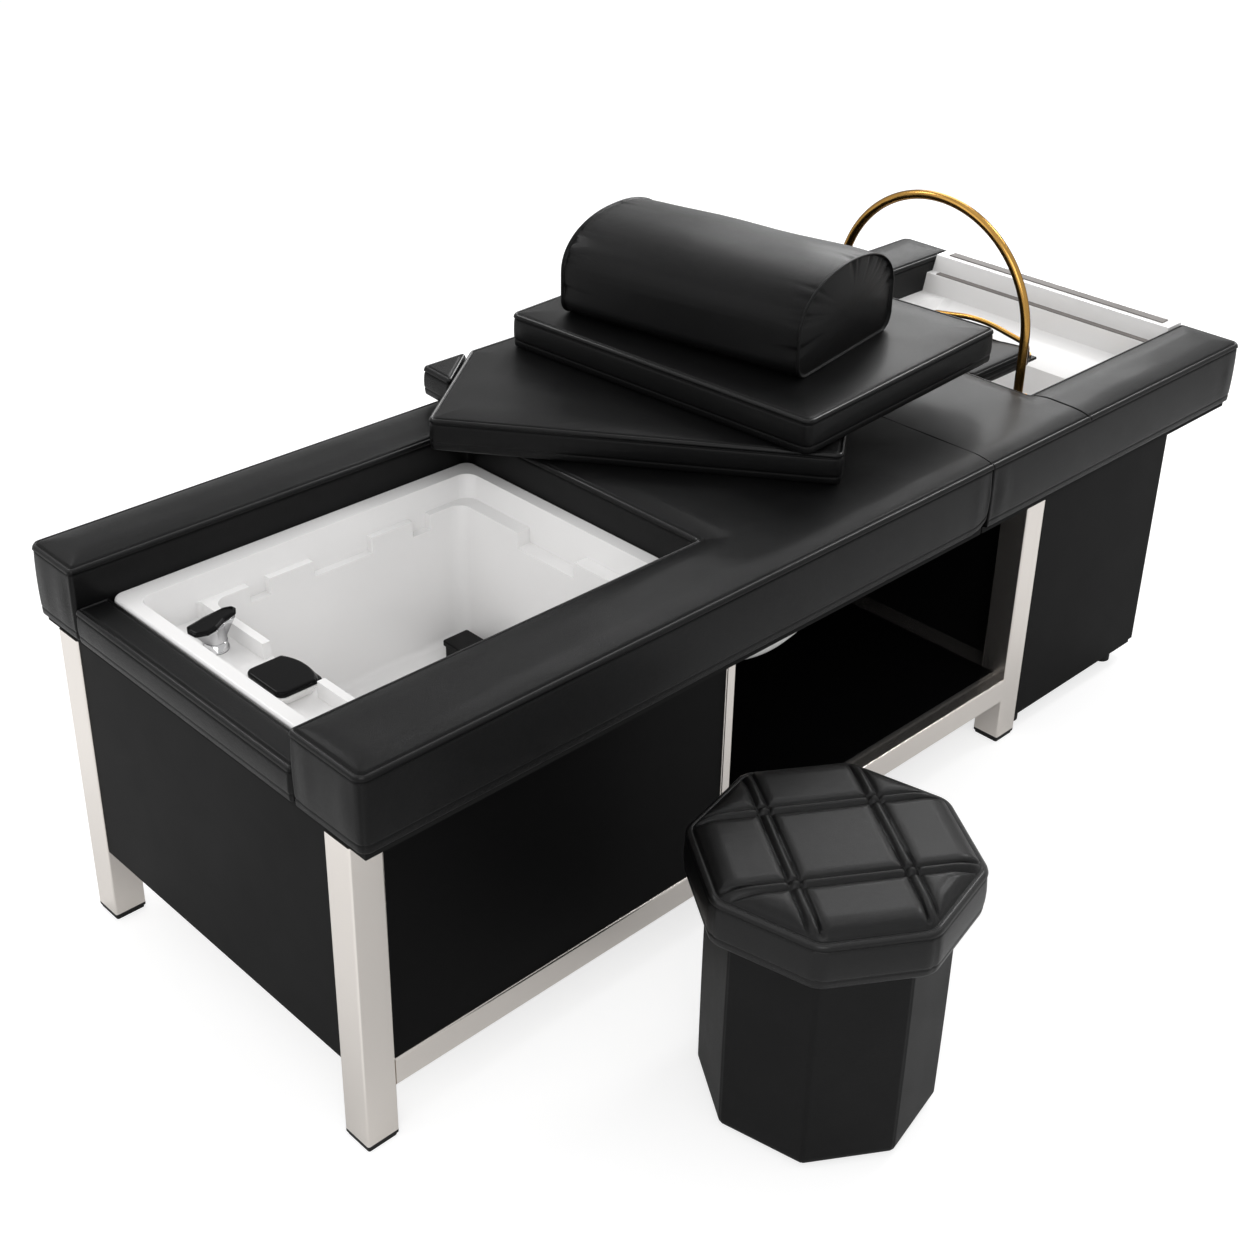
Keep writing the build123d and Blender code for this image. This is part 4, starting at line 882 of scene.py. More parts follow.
def edge_loop(xs, ys, numbers, places):
    """The grid points' numbers along an outline, and where in that loop each corner stands."""
    loop = []
    for i, place in enumerate(places):
        end = places[(i + 1) % len(places)]
        start_x, end_x = np.argmin(np.abs(xs - place[0])), np.argmin(np.abs(xs - end[0]))
        start_y, end_y = np.argmin(np.abs(ys - place[1])), np.argmin(np.abs(ys - end[1]))
        steps = abs(end_x - start_x) + abs(end_y - start_y)
        along_x = np.linspace(start_x, end_x, steps + 1)[:-1].round().astype(int)
        along_y = np.linspace(start_y, end_y, steps + 1)[:-1].round().astype(int)
        loop.append(numbers[along_x, along_y])
    return np.concatenate(loop), np.cumsum([0] + [len(part) for part in loop[:-1]])


def module_side(edge, corners, low, high, seam, to_foot):
    """Rows of a module's side below its edge.

    The foot module's underside rises a little beside the joint between the modules.
    """
    inset, height = side_rows(low[2], seam)
    share = middle_share(height, low[2], seam)
    dents = corner_dents(edge, corners, share, corner_groove_depth, pucker_depth)
    plan = edge - follow(edge)[2] * inset[:, None, None] - dents
    level = height[:, None] * np.ones(len(edge))
    if to_foot:
        lift = edge_drop(high[0] - edge[:, 0], joint_lift_run) * joint_lift / joint_lift_run
        level += lift * np.clip(1 - (level - low[2]) / (seam - low[2]) / joint_lift_share, 0, 1)
    return np.concatenate([plan, level[..., None]], axis=-1)


def module_cover(name, node, notch, arm_seams, seed):
    """Leather cover of a U-shaped upholstered module.

    The top is a grid whose lines lie close together beside the edges, its height the top
    profile of the distance to the nearest edge. The side is the outline carried down the
    side rows, and the underside is flat.
    """
    low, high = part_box(node)
    seam = high[2] - module_crown
    to_foot = notch[0] <= low[0]
    xs = grid_lines(low[0], high[0], [notch[1] if to_foot else notch[0], *arm_seams])
    ys = grid_lines(low[1], high[1], notch[2:])
    flat_x, flat_y = np.meshgrid(xs, ys, indexing="ij")
    from_end, from_joint = flat_x - low[0], high[0] - flat_x
    if not to_foot:
        from_end, from_joint = from_joint, from_end
    from_sides = np.minimum(from_end, np.minimum(flat_y - low[1], high[1] - flat_y))
    notch_x = np.maximum(notch[0] - flat_x, flat_x - notch[1])
    notch_y = np.maximum(notch[2] - flat_y, flat_y - notch[3])
    depth = np.minimum(from_sides, np.maximum(notch_x, notch_y))
    kept = np.minimum(depth, from_joint) > -merge_distance
    depth = np.clip(depth, 0, None)
    x = flat_x.copy()
    y = flat_y.copy()
    places, radii, inner = module_outline(low, high, notch)
    bend_corners(x, y, places, radii, inner)
    z = top_profile(depth, seam, module_crown, module_reach) - edge_drop(from_joint, joint_round)
    z += np.clip(depth / module_reach, 0, 1) * slow_waves(x, y, seed, module_wave, module_wave_height)
    on_near_arm = np.clip((notch[2] - flat_y) / coarse_gap, 0, 1)
    for place in arm_seams:
        z -= groove_depth * groove(flat_x - place, groove_width) * on_near_arm
    numbers = np.arange(x.size).reshape(x.shape)
    cells_kept = kept[:-1, :-1] & kept[1:, :-1] & kept[1:, 1:] & kept[:-1, 1:]
    centre_x = (flat_x[:-1, :-1] + flat_x[1:, 1:]) / 2
    centre_y = (flat_y[:-1, :-1] + flat_y[1:, 1:]) / 2
    in_notch = (centre_x > notch[0]) & (centre_x < notch[1]) & (centre_y > notch[2]) & (centre_y < notch[3])
    quads = np.stack([numbers[:-1, :-1], numbers[1:, :-1], numbers[1:, 1:], numbers[:-1, 1:]], axis=-1)
    quads = quads[cells_kept & ~in_notch]
    loop, corners = edge_loop(xs, ys, numbers, places)
    top = np.stack([x, y, z], axis=-1).reshape(-1, 3)
    rows = module_side(top[loop, :2], corners, low, high, seam, to_foot)
    points = np.concatenate([top, rows.reshape(-1, 3)])
    extra = x.size + np.arange(rows.shape[0] * rows.shape[1]).reshape(rows.shape[:2])
    faces = [*quads.tolist(), *strip_faces(np.concatenate([loop[None], extra])).tolist(), extra[-1].tolist()]
    used = np.unique(np.concatenate([quads.ravel(), extra.ravel()]))
    renumber = np.full(len(points), -1)
    renumber[used] = np.arange(len(used))
    faces = [renumber[face].tolist() for face in faces]
    bead = np.concatenate([bead_share(depth).ravel(), np.zeros(extra.size)])
    dressing = ("bed", "black_leather", pad_leather, node)
    piece = finish_piece(name, points[used], faces, dressing, bead[used])
    bends = [inner_corner if i in inner else outer_corner for i in range(len(places))]
    path = inset_path(places, stitch_inset, bends)
    level = stitch_level(seam, module_crown, module_reach)
    joint_x = high[0] if to_foot else low[0]
    stitches(f"{name}_stitches", path, level, "bed", lambda x: np.abs(x - joint_x) > 2 * stitch_inset)


# Pads with a convex outline, as rings


def stack_rings(points, corner, rows, base, top, under, over, counts=pad_counts):
    """Plan, heights and depths of a closed piece's rings, from its underside up and over its top.

    A row is how far inside the outline its ring lies, how high, and how deep inside the top's
    edge. Rings shrunken towards the middle, by the shares under and over, close it at its
    base's and its top's height.
    """
    middle = np.mean(points, axis=0)
    rings = [inset_path(points, row[0], corner, *counts) for row in rows]
    low_rings = [middle + (rings[0] - middle) * share for share in under]
    high_rings = [middle + (rings[-1] - middle) * share for share in over]
    plan = np.stack(low_rings + rings + high_rings)
    height = [base] * len(under) + [row[1] for row in rows] + [top] * len(over)
    depth = [0] * len(under) + [row[2] for row in rows] + [rows[-1][2]] * len(over)
    return plan, np.array(height)[:, None] * np.ones(plan.shape[1]), np.array(depth)[:, None]


def corner_places(counts):
    """Which of a ring's points lie midway on its corners."""
    return slice(counts[0] // 2, None, sum(counts))


def pad_of_rings(name, points, corner, seam, top_rows, dent, flats, counts, displace, dressing):
    """A pad from its side rows and its top's rows, with a seam and dents at its corners.

    The flats are the numbers of rings that close the underside and the middle of the top. The
    displacement adds to the top's height and is told each point's depth inside the edge.
    """
    low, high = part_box(dressing[-1])
    inset, side_height = side_rows(low[2], seam)
    side = [(i, z, 0) for i, z in zip(inset[::-1], side_height[::-1])]
    under = np.linspace(0, 1, flats[0] + 1)[:-1]
    over = np.linspace(1, 0, flats[1] + 1)[1:]
    plan, height, depth = stack_rings(points, corner, side + top_rows, low[2], high[2], under, over, counts)
    edge = len(under) + len(side)
    share = middle_share(side_height[::-1], low[2], seam)
    plan[len(under):edge] -= corner_dents(plan[edge], corner_places(counts), share, corner_groove_depth, dent)
    height[edge:] += displace(plan[edge:, :, 0], plan[edge:, :, 1], depth[edge:])
    piece = row_piece(name, plan, height, dressing, bead_share(depth) * (depth > 0))


def ring_pad(name, points, sizes, dressing, displace, stitched=True):
    """Leather pad with a convex outline, whose top's height is the top profile of a ring's depth."""
    corner, crown, reach = sizes
    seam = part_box(dressing[-1])[1][2] - crown
    depths = np.append(beside_edge[beside_edge < reach], reach)
    top_rows = [(d, z, d) for d, z in zip(depths, top_profile(depths, seam, crown, reach))]
    dent = pucker_depth * min(reach / cushion_reach, 1)
    pad_of_rings(name, points, corner, seam, top_rows, dent, (25, 25), pad_counts, displace, dressing)
    if stitched:
        path = inset_path(points, stitch_inset, corner)
        stitches(f"{name}_stitches", path, stitch_level(seam, crown, reach), dressing[0])


def turned(points, place, angle):
    """Turn plan points about their own origin and place them."""
    turn = math.radians(angle)
    matrix = np.array([[math.cos(turn), math.sin(turn)], [-math.sin(turn), math.cos(turn)]])
    return np.asarray(points, float) @ matrix + np.asarray(place)


def even_filling(x, y, depth):
    """Filling without waves."""
    return 0 * x


def uneven_filling(seed):
    """Filling whose waves grow from the edge inwards."""

    def displace(x, y, depth):
        waves = slow_waves(x, y, seed, cushion_wave, cushion_wave_height)
        return np.clip(depth / cushion_reach, 0, 1) * waves

    return displace


def cover_outline():
    """Outline of the cushion with two cut corners."""
    width, deep = cover_size
    cut_back, cut_side = cover_cuts
    side = deep - cut_side
    plan = [(0, 0), (width, 0), (width, side), (width - cut_back, deep), (cut_back, deep), (0, side)]
    return turned(plan, cover_place, cover_turn)


def square_outline():
    """Outline of the nearly square cushion."""
    half = np.array(square_size) / 2
    return turned(box_plan(-half, half), square_place, square_turn)


def wedge_outline():
    """Outline of the small wedge pad: it starts along the cover cushion's end and follows the far edge."""
    along = around(math.radians(cover_turn + 90))
    corner = np.asarray(cover_place)
    first = corner + along * wedge_start
    last = corner + along * (wedge_start + wedge_span)
    far = corner[1] + wedge_size[1]
    return np.array([first, (last[0], far), (corner[0] + wedge_size[0], far)])


def loose_cushions():
    """The cover cushion, the square cushion and the small wedge of padding behind them."""
    sizes = (cushion_corner, cushion_crown, cushion_reach)
    cover = ("cover", "black_leather", cushion_leather, "cover_cushion")
    ring_pad("cover_cushion_leather", cover_outline(), sizes, cover, uneven_filling(seed=3))
    square = ("square", "black_leather", cushion_leather, "square_cushion")
    ring_pad("square_cushion_leather", square_outline(), sizes, square, uneven_filling(seed=8))
    sizes = (wedge_corner, wedge_crown, wedge_reach)
    wedge = ("wedge", "black_leather", cushion_leather, "corner_pad")
    ring_pad("corner_pad_leather", wedge_outline(), sizes, wedge, even_filling)


def bed_upholstery():
    """Covers of the two modules and of the cross pad at the foot end."""
    bath_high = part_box("foot_bath")[1]
    basin_low, basin_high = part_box("head_basin")
    foot_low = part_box("foot_module_pad")[0]
    head_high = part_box("head_module_pad")[1]
    cross_low, cross_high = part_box("cross_pad")
    foot_notch = (foot_low[0], bath_high[0], cross_low[1], cross_high[1])
    head_notch = (basin_low[0], head_high[0], basin_low[1], basin_high[1])
    module_cover("foot_module_leather", "foot_module_pad", foot_notch, (), seed=11)
    module_cover("head_module_leather", "head_module_pad", head_notch, (arm_seam_x,), seed=12)
    sizes = (cross_corner, cross_crown, cross_reach)
    cross = ("bed", "black_leather", pad_leather, "cross_pad")
    ring_pad("cross_pad_leather", box_plan(cross_low, cross_high), sizes, cross, even_filling)


def neck_rest():
    """Soft rest: a rounded rectangle with a hollow across for the neck."""
    low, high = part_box("neck_rest")
    middle_y = (low[1] + high[1]) / 2

    def displace(x, y, depth):
        return -rest_dip * groove(y - middle_y, rest_dip_half)

    sizes = (rest_corner, rest_crown, rest_reach)
    dressing = ("neck_cushion", "neck_rubber", neck_rubber, "neck_rest")
    ring_pad("neck_rest_soft", box_plan(low, high), sizes, dressing, displace, stitched=False)


# Stool


def octagon(radius):
    """Plan outline of the stool at a corner radius."""
    angle = math.radians(stool_phase) + 2 * math.pi / stool_sides * np.arange(stool_sides)
    return np.asarray(stool_place) + radius * around(angle)


def seat_channels(x, y, depth):
    """Crossed pairs of sewn channels with puffed panels between them.

    Four lines join the octagon's corners, two each way. Beside each line lie two sewn
    grooves with a raised band between, and the panels swell away from the grooves.
    """
    turn = math.radians(stool_phase + 180 / stool_sides)
    local_x = (x - stool_place[0]) * math.cos(turn) + (y - stool_place[1]) * math.sin(turn)
    local_y = (y - stool_place[1]) * math.cos(turn) - (x - stool_place[0]) * math.sin(turn)
    line = stool_seat_radius * math.sin(math.pi / stool_sides)
    total = np.zeros_like(x)
    nearest = np.full_like(x, stool_seat_radius)
    inside = np.clip(depth - seat_seam_inset, 0, None)
    fade = np.clip(inside / channel_fade, 0, 1)
    for across in (local_x, local_y):
        for side in (-1, 1):
            gap = np.abs(across - side * line)
            total -= channel_depth * groove(gap - channel_half, channel_width) * fade
            total += channel_depth / 3 * groove(gap, channel_half / 2) * fade
            nearest = np.minimum(nearest, np.abs(gap - channel_half))
    puff = rise_to(np.minimum(nearest, inside), panel_puff_reach)
    total -= seat_seam_depth * groove(depth - seat_seam_inset, seat_seam_width)
    return total + panel_puff * (puff - 1) * np.clip(depth / seat_seam_inset, 0, 1)


def stool_seat():
    """Leather seat with sewn channels, with enough points on its rings for them."""
    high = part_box("stool_seat")[1]
    seam = high[2] - stool_crown
    points = octagon(stool_seat_radius)
    fine = np.linspace(0, seat_fine_edge, 11)[:-1]
    depths = np.concatenate([fine, np.linspace(seat_fine_edge, stool_reach, 22)])
    top_height = seam + stool_crown * rise_to(depths, stool_reach) - edge_drop(depths, edge_round)
    top_rows = [(d, z, d) for d, z in zip(depths, top_height)]
    dressing = ("stool", "black_leather", stool_leather, "stool_seat")
    pad_of_rings(
        "stool_seat_leather", points, seat_corner, seam, top_rows, 0, (3, 74), seat_counts, seat_channels,
        dressing,
    )
    path = inset_path(points, stitch_inset, seat_corner)
    level = float(top_profile(stitch_inset, seam, stool_crown, stool_reach))
    stitches("stool_seat_stitches", path, level, "stool")


def stool_body():
    """Leather-covered body: the octagon carried down a slightly swelling side and turned under."""
    low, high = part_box("stool_body")
    share = np.linspace(0, 1, 16)
    start = low[2] + stool_body_round
    turn = np.linspace(math.pi / 2, 0, 7)[:-1]
    height = np.concatenate([start - stool_body_round * np.sin(turn), start + (high[2] - start) * share])
    tuck = stool_body_tuck * (1 - np.cos(turn))
    inset = np.concatenate([tuck, -stool_body_swell * np.sin(math.pi * share)])
    rows = [(i, z, 0) for i, z in zip(inset, height)]
    points = octagon(stool_body_radius)
    plan, height, _ = stack_rings(points, stool_corner, rows, low[2], high[2], (0, 0.5), (0.5, 0))
    # The corner seams leave out the rings that close the base and the top, and the first two that turn under
    seamed = plan[4:-2]
    outline = plan[len(plan) // 2]
    share = np.ones(len(seamed))
    seamed -= corner_dents(outline, corner_places(pad_counts), share, corner_groove_depth / 2, 0)
    dressing = ("stool", "black_leather", base_leather, "stool_body")
    piece = row_piece("stool_body_leather", plan, height, dressing)


# Bolster


def bolster_section():
    """The bolster's section as a closed loop: flat base, upright sides and a round top.

    The round top is half of a superellipse from one side's top over the crown to the other's.
    """
    half = bolster_size[0] / 2
    rise = bolster_size[2] - bolster_side
    angle = np.linspace(0, math.pi, 160)
    across = np.sign(np.cos(angle)) * np.abs(np.cos(angle)) ** (2 / bolster_roundness)
    up = np.abs(np.sin(angle)) ** (2 / bolster_roundness)
    arc = np.stack([half * across, bolster_side + rise * up], axis=1)
    turn = np.linspace(0, math.pi / 2, 10)
    left = np.array([-half, 0]) + bolster_base_round * (1 - around(turn))
    right = left[::-1] * np.array([-1, 1])
    loop = np.concatenate([arc, left, right])
    run = np.concatenate([[0], np.cumsum(np.linalg.norm(np.roll(loop, -1, axis=0) - loop, axis=1))])
    closed = np.vstack([loop, loop[:1]])
    place = np.linspace(0, run[-1], bolster_points, endpoint=False)
    return np.stack([np.interp(place, run, closed[:, 0]), np.interp(place, run, closed[:, 1])], axis=1)


def bolster_folds(section):
    """Strength of the folds at each point of the bolster's section, from seeded draws.

    Each fold is a narrow bell at a drawn place, and none reaches down to the flat base.
    """
    place = np.arange(bolster_points) / bolster_points
    draw = np.random.default_rng(5)
    folds = np.zeros(bolster_points)
    for _ in range(fold_count):
        gap = np.abs(place - draw.uniform(0, 1))
        gap = np.minimum(gap, 1 - gap)
        folds += draw.uniform(*fold_strength_shares) * groove(gap, fold_width_share)
    return folds * np.clip((section[:, 1] - fold_start) / fold_rise, 0, 1)


def bolster_rows(folds):
    """Rows from an end's middle to the bolster's middle: the section's scale, and the place along.

    The end cap bulges a little, a round piping stands up on its edge, and folds run from the
    piping both ways.
    """
    half = bolster_size[1] / 2
    whole = np.ones(bolster_points)
    rows = []
    for share in cap_row_shares:
        bulge = cap_rise - cap_bulge * (1 - share**2)
        dent = cap_dent * folds * np.exp(-(1 - share) / cap_dent_share) * share
        rows.append((share * cap_edge_share * whole, -half + bulge + dent))
    for angle in np.linspace(-math.pi, math.pi / 4, 7):
        grow = cap_edge_share + bolster_piping * (1 + math.cos(angle)) / bolster_size[2]
        rows.append((grow * whole, (-half + bolster_piping * (1 + math.sin(angle))) * whole))
    for gap in behind_piping:
        draw_in = draw_in_share * math.exp(-gap / draw_in_reach)
        crease = fold_depth_share * folds * math.exp(-gap / fold_reach)
        rows.append((1 - draw_in - crease, (-half + gap) * whole))
    return np.stack([row[0] for row in rows]), np.stack([row[1] for row in rows])


def bolster():
    """Bolster: its section carried along its length and drawn in at both piped ends."""
    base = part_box("bolster")[0][2]
    section = bolster_section()
    scale, along = bolster_rows(bolster_folds(section))
    scale = np.concatenate([scale, scale[-2::-1]])
    along = np.concatenate([along, -along[-2::-1]])
    centre = bolster_size[2] * bolster_centre_share
    x = section[:, 0] * scale
    z = centre + (section[:, 1] - centre) * scale
    high_up = np.clip(section[:, 1] / bolster_size[2], 0, 1)
    z += crest_wave_height * np.sin(along * 2 * math.pi / crest_wave) * high_up
    plan = turned(np.stack([x, along], axis=-1), bolster_place, bolster_turn)
    dressing = ("roll", "black_leather", cushion_leather, "bolster")
    piece = row_piece("bolster_leather", plan, base + np.maximum(z, 0), dressing)


# Rigid pieces


def rounded_copy(node, width, body, slot_name, material):
    """A copy of a CAD node with its facets merged and its edges rounded."""
    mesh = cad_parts[node].data.copy()
    mesh.name = f"{node}_rounded"
    work = bmesh.new()
    work.from_mesh(mesh)
    bmesh.ops.remove_doubles(work, verts=work.verts, dist=merge_distance)
    bmesh.ops.dissolve_limit(work, angle_limit=flat_angle, verts=work.verts, edges=work.edges)
    for edge in work.edges:
        edge.smooth = edge.calc_face_angle(math.pi) < sharp_angle
    work.to_mesh(mesh)
    work.free()
    shade_smooth(mesh)
    piece = add_piece(f"{node}_rounded", mesh, (body, slot_name, material, node))
    if width:
        bevel = piece.modifiers.new("rounded_edges", "BEVEL")
        bevel.width = width
        bevel.segments = 3
        bevel.limit_method = "ANGLE"
        bevel.angle_limit = sharp_angle
        bevel.harden_normals = False
        even = piece.modifiers.new("even_shading", "WEIGHTED_NORMAL")
        even.keep_sharp = False


def hose():
    """White hose on a smooth spline through the route's points."""
    curve = bpy.data.curves.new("drain_hose_line", "CURVE")
    curve.dimensions = "3D"
    spline = curve.splines.new("NURBS")
    spline.points.add(len(hose_points) - 1)
    for point, place in zip(spline.points, hose_points):
        point.co = (*place, 1)
    spline.order_u = 3
    spline.use_endpoint_u = True
    curve.resolution_u = 24
    curve.bevel_depth = hose_diameter / 2
    curve.bevel_resolution = 6
    curve.use_fill_caps = True
    piece = add_piece("drain_hose_white", curve, ("bed", "white_hose", hose_white, "drain_hose"))


def plate(name, points, corner, levels, edge_rows, displace, dressing):
    """A flat moulding of rings from the middle of its underside out, up its rows and in over its top.

    The edge rows count up from the lower level and down from the upper one. The displacement
    adds to the height of every point and is told which points belong to the upper half.
    """
    base, top = levels
    low_rows, high_rows = edge_rows
    rows = [(inset, base + rise, 0) for inset, rise in low_rows]
    rows += [(inset, top - drop, 0) for inset, drop in high_rows]
    under = (0, 0.35, 0.7)
    over = np.linspace(1, 0, 44)[1:]
    plan, height, _ = stack_rings(points, corner, rows, base, top, under, over, plate_counts)
    upper = np.arange(len(plan))[:, None] >= len(under) + len(rows) // 2
    height += displace(plan[..., 0], plan[..., 1], upper)
    row_piece(name, plan, height, dressing)


def tap_axis():
    """Plan place of the tap's axis."""
    return np.mean(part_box("tap_body"), axis=0)[:2]


def tap_lever():
    """Lever: blunt and thick over the tap, its underside rising towards the narrow tip."""
    low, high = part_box("tap_lever")
    axis = tap_axis()

    def displace(x, y, upper):
        along = np.clip((x - axis[0] + lever_tail) / (lever_tail + lever_reach), 0, 1)
        return np.where(upper, -lever_tip_drop * (along - 1) ** 2, lever_under_rise * along**2)

    rows = (lever_low_rows, lever_high_rows)
    dressing = ("lever", "black_plastic", black_gloss, "tap_lever")
    plate("tap_lever_black", axis + lever_outline, lever_corner, (low[2], high[2]), rows, displace, dressing)


def tap_neck():
    """Chrome neck that flares from a circle to the lever's outline.

    Each ring is a mix of the circle and the outline by its height's share, and both ends are closed.
    """
    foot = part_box("tap_body")[0][2] + neck_foot
    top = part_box("tap_lever")[0][2] + neck_overlap
    outline = inset_path(lever_outline * neck_flare_share, 0, lever_corner, *plate_counts)
    circle = neck_radius * around(np.arctan2(outline[:, 1], outline[:, 0]))
    share = np.pad(np.linspace(0, 1, 14), 1, mode="edge")[:, None, None]
    rings = circle * (1 - share) + outline * share
    rings[[0, -1]] = 0
    height = foot + (top - foot) * share[..., 0]
    dressing = ("tap_swivel", "chrome", chrome, "tap_cartridge")
    row_piece("tap_neck_chrome", tap_axis() + rings, height, dressing)


def tap_foot():
    """Chrome foot of the tap: a turned collar on a sloped ring."""
    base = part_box("tap_body")[0][2]
    collar = neck_radius + foot_collar
    collar_top = neck_foot + neck_overlap
    slope_top = foot_ring_height + foot_ring_slope
    radii = np.array([0, foot_ring_radius, foot_ring_radius, collar, collar, 0])
    steps = np.array([0, 0, foot_ring_height, slope_top, collar_top, collar_top])
    turn = np.linspace(0, 2 * math.pi, 48, endpoint=False)
    plan = tap_axis() + radii[:, None, None] * around(turn)
    row_piece("tap_foot_chrome", plan, base + steps[:, None], ("bed", "chrome", chrome, "tap_body"))


def spout_cover():
    """Spout cover: a flat plate whose end over the water steps down along a curved line."""
    low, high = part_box("spout_cover")
    middle_y = (low[1] + high[1]) / 2
    half_y = (high[1] - low[1]) / 2

    def displace(x, y, upper):
        across = (y - middle_y) / half_y
        line = high[0] - cover_lip_ends + cover_lip_bulge * (1 - across**2)
        step = np.clip((x - line) / cover_step_width + 0.5, 0, 1)
        step = step * step * (3 - 2 * step)
        curl = np.clip((x - line) / cover_lip_ends, 0, 1) ** 2
        return -cover_step_drop * step * upper - cover_curl * curl

    levels = (high[2] - cover_thickness, high[2])
    rows = (cover_low_rows, cover_high_rows)
    dressing = ("bed", "black_plastic", black_gloss, "spout_cover")
    plate("spout_cover_black", box_plan(low, high), cover_corner, levels, rows, displace, dressing)


rounded_nodes = (
    ("foot_bath", bath_edge, "bed", "white_moulding", white_shell),
    ("head_basin", basin_edge, "bed", "white_moulding", white_shell),
    ("spout_body", box_edge, "bed", "white_moulding", white_shell),
    ("drain_cover", box_edge, "drain_box", "black_plastic", black_gloss),
    ("arch_pipe", 0, "arch", "gold_pipe", gold),
    ("spray_pipe", 0, "bed", "gold_pipe", gold),
    ("arch_socket_near", small_edge, "bed", "gold_pipe", gold),
    ("arch_socket_far", small_edge, "bed", "gold_pipe", gold),
    ("bath_waste", 0, "bed", "chrome", chrome),
    ("basin_waste", 0, "bed", "chrome", chrome),
    ("grip_strips", small_edge, "bed", "grey_strip", strip_grey),
    ("neck_rest_bracket", bracket_edge, "bed", "black_metal", metal_black),
    ("cabinet_door", bracket_edge, "door", "black_panel", panel_black),
    ("storage_shelf", board_edge, "bed", "black_gloss_board", shelf_gloss),
)

kept_finishes = (
    (steel_z, ("leg_foot_near", "leg_foot_far", "leg_head_near", "leg_head_far")),
    (steel_z, ("mid_post_near", "mid_post_far")),
    (steel_x, ("low_rail_near", "low_rail_far", "top_rail_near", "top_rail_far")),
    (steel_y, ("low_rail_foot", "low_rail_head", "top_rail_foot", "top_rail_head")),
    (black_matt, ("glide_foot_near", "glide_foot_far", "glide_head_near", "glide_head_far")),
    (black_matt, ("cabinet_feet", "stool_feet")),
    (panel_black, ("foot_panel", "side_panel_near", "side_panel_far", "bay_back_panel")),
    (panel_black, ("bay_partition", "cabinet_shell")),
    (board_black, ("foot_deck_board", "head_deck_board")),
    (chrome, ("hinge_fixed", "hinge_moving")),
    (black_gloss, ("hose_holders",)),
)


def rigid_pieces():
    """Rounded copies of the mouldings and fittings, and the materials of the nodes that show as they are."""
    for row in rounded_nodes:
        rounded_copy(*row)
    for material, nodes in kept_finishes:
        for node in nodes:
            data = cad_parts[node].data
            data.materials.clear()
            data.materials.append(material)


# Stage


def set_camera():
    """Camera at the photograph's place and angle."""
    azimuth = math.radians(camera_azimuth)
    elevation = math.radians(camera_elevation)
    roll = math.radians(camera_roll)
    flat = math.cos(elevation)
    look = Vector((flat * math.cos(azimuth), flat * math.sin(azimuth), -math.sin(elevation)))
    level_right = Vector((look.y, -look.x, 0)).normalized()
    level_up = level_right.cross(look)
    right = level_right * math.cos(roll) + level_up * math.sin(roll)
    up = right.cross(look)
    data = bpy.data.cameras.new("photo_view")
    data.sensor_width = sensor_width
    data.lens = focal_pixels / photo_pixels * sensor_width
    data.shift_y = (optical_row - photo_pixels / 2) / photo_pixels
    camera = bpy.data.objects.new("photo_view", data)
    camera.matrix_world = Matrix.Translation(camera_place) @ Matrix((right, up, -look)).transposed().to_4x4()
    bpy.context.scene.collection.objects.link(camera)
    bpy.context.scene.camera = camera


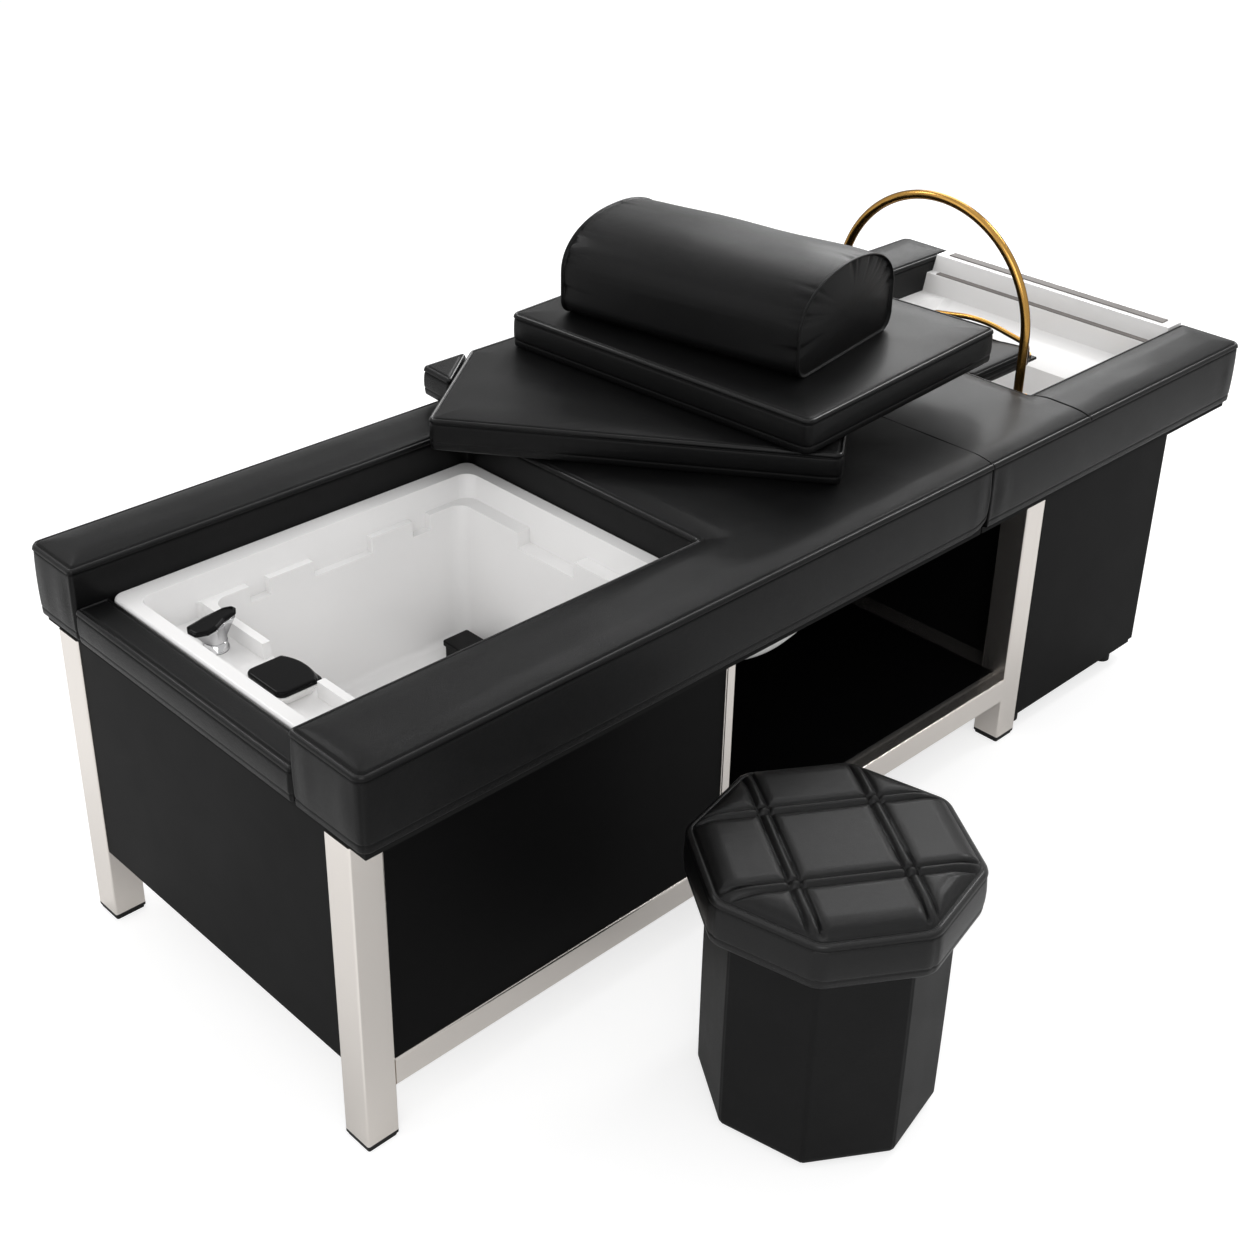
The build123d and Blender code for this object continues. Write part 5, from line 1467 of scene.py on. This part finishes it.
def white_floor():
    """White floor that keeps a soft shadow, with its own glow for the camera and for mirrors."""
    mesh = bpy.data.meshes.new("floor")
    half = np.full(2, floor_size / 2)
    mesh.from_pydata([(x, y, 0) for x, y in box_plan(-half, half)], [], [(0, 1, 2, 3)])
    floor = bpy.data.objects.new("floor", mesh)
    bpy.context.scene.collection.objects.link(floor)
    material, tree, shader = new_material("floor_white")
    path = add_node(tree, "ShaderNodeLightPath")
    place = add_node(tree, "ShaderNodeSeparateXYZ")
    feed(tree, place, {0: object_vector(tree)})
    seen = path.outputs["Is Camera Ray"]
    share = remap(tree, place.outputs["X"], *floor_glow_ends, *floor_glow_in_mirrors)
    mirrored = maths(tree, "MULTIPLY", path.outputs["Is Glossy Ray"], share)
    feed(tree, shader, {
        "Roughness": floor_roughness,
        "Specular IOR Level": 0,
        "Base Color": mix_colours(tree, seen, floor_in_mirrors, floor_seen),
        "Emission Color": (1, 1, 1, 1),
        "Emission Strength": maths(tree, "ADD", maths(tree, "MULTIPLY", seen, floor_glow), mirrored),
    })
    mesh.materials.append(material)


def white_room():
    """White surroundings, brighter for the camera and dimmer in mirrors."""
    world = bpy.data.worlds.new("white_room")
    world.use_nodes = True
    bpy.context.scene.world = world
    tree = world.node_tree
    path = add_node(tree, "ShaderNodeLightPath")
    seen = remap(tree, path.outputs["Is Camera Ray"], 0.0, 1.0, room_light, room_seen)
    mirrored = maths(tree, "MULTIPLY", path.outputs["Is Glossy Ray"], room_in_mirrors - room_light)
    strength = maths(tree, "ADD", seen, mirrored)
    feed(tree, tree.nodes["Background"], {"Color": (1, 1, 1, 1), "Strength": strength})


# Each lamp's name, place, size and power in watts
soft_lamps = (
    ("overhead", (0.0, -0.2, 3.6), 2.4, 3),
    ("front_soft", (-3.0, -2.8, 3.0), 2.6, 46),
    ("left_soft", (-3.2, 1.4, 2.4), 2.4, 14),
    ("head_soft", (3.4, 2.05, 2.1), 1.3, 29),
    ("crown_soft", (1.9, 1.35, 2.7), 1.6, 22),
    ("near_edges", (2.2, -0.4, 2.7), 0.7, 18),
    ("foot_edges", (-0.6, 2.4, 2.8), 0.7, 11),
)


def set_lamps():
    """Square soft lamps that all aim at the bed's middle."""
    for name, place, size, power in soft_lamps:
        data = bpy.data.lights.new(name, "AREA")
        data.shape = "SQUARE"
        data.size = size
        data.energy = power
        lamp = bpy.data.objects.new(name, data)
        lamp.location = place
        aim = Vector(lamp_aim) - Vector(place)
        lamp.rotation_euler = aim.to_track_quat("-Z", "Y").to_euler()
        bpy.context.scene.collection.objects.link(lamp)


set_camera()
hose()
bed_upholstery()
loose_cushions()
bolster()
stool_seat()
stool_body()
neck_rest()
tap_lever()
tap_neck()
tap_foot()
spout_cover()
rigid_pieces()
white_floor()
white_room()
set_lamps()
bpy.context.scene.view_settings.view_transform = "Standard"
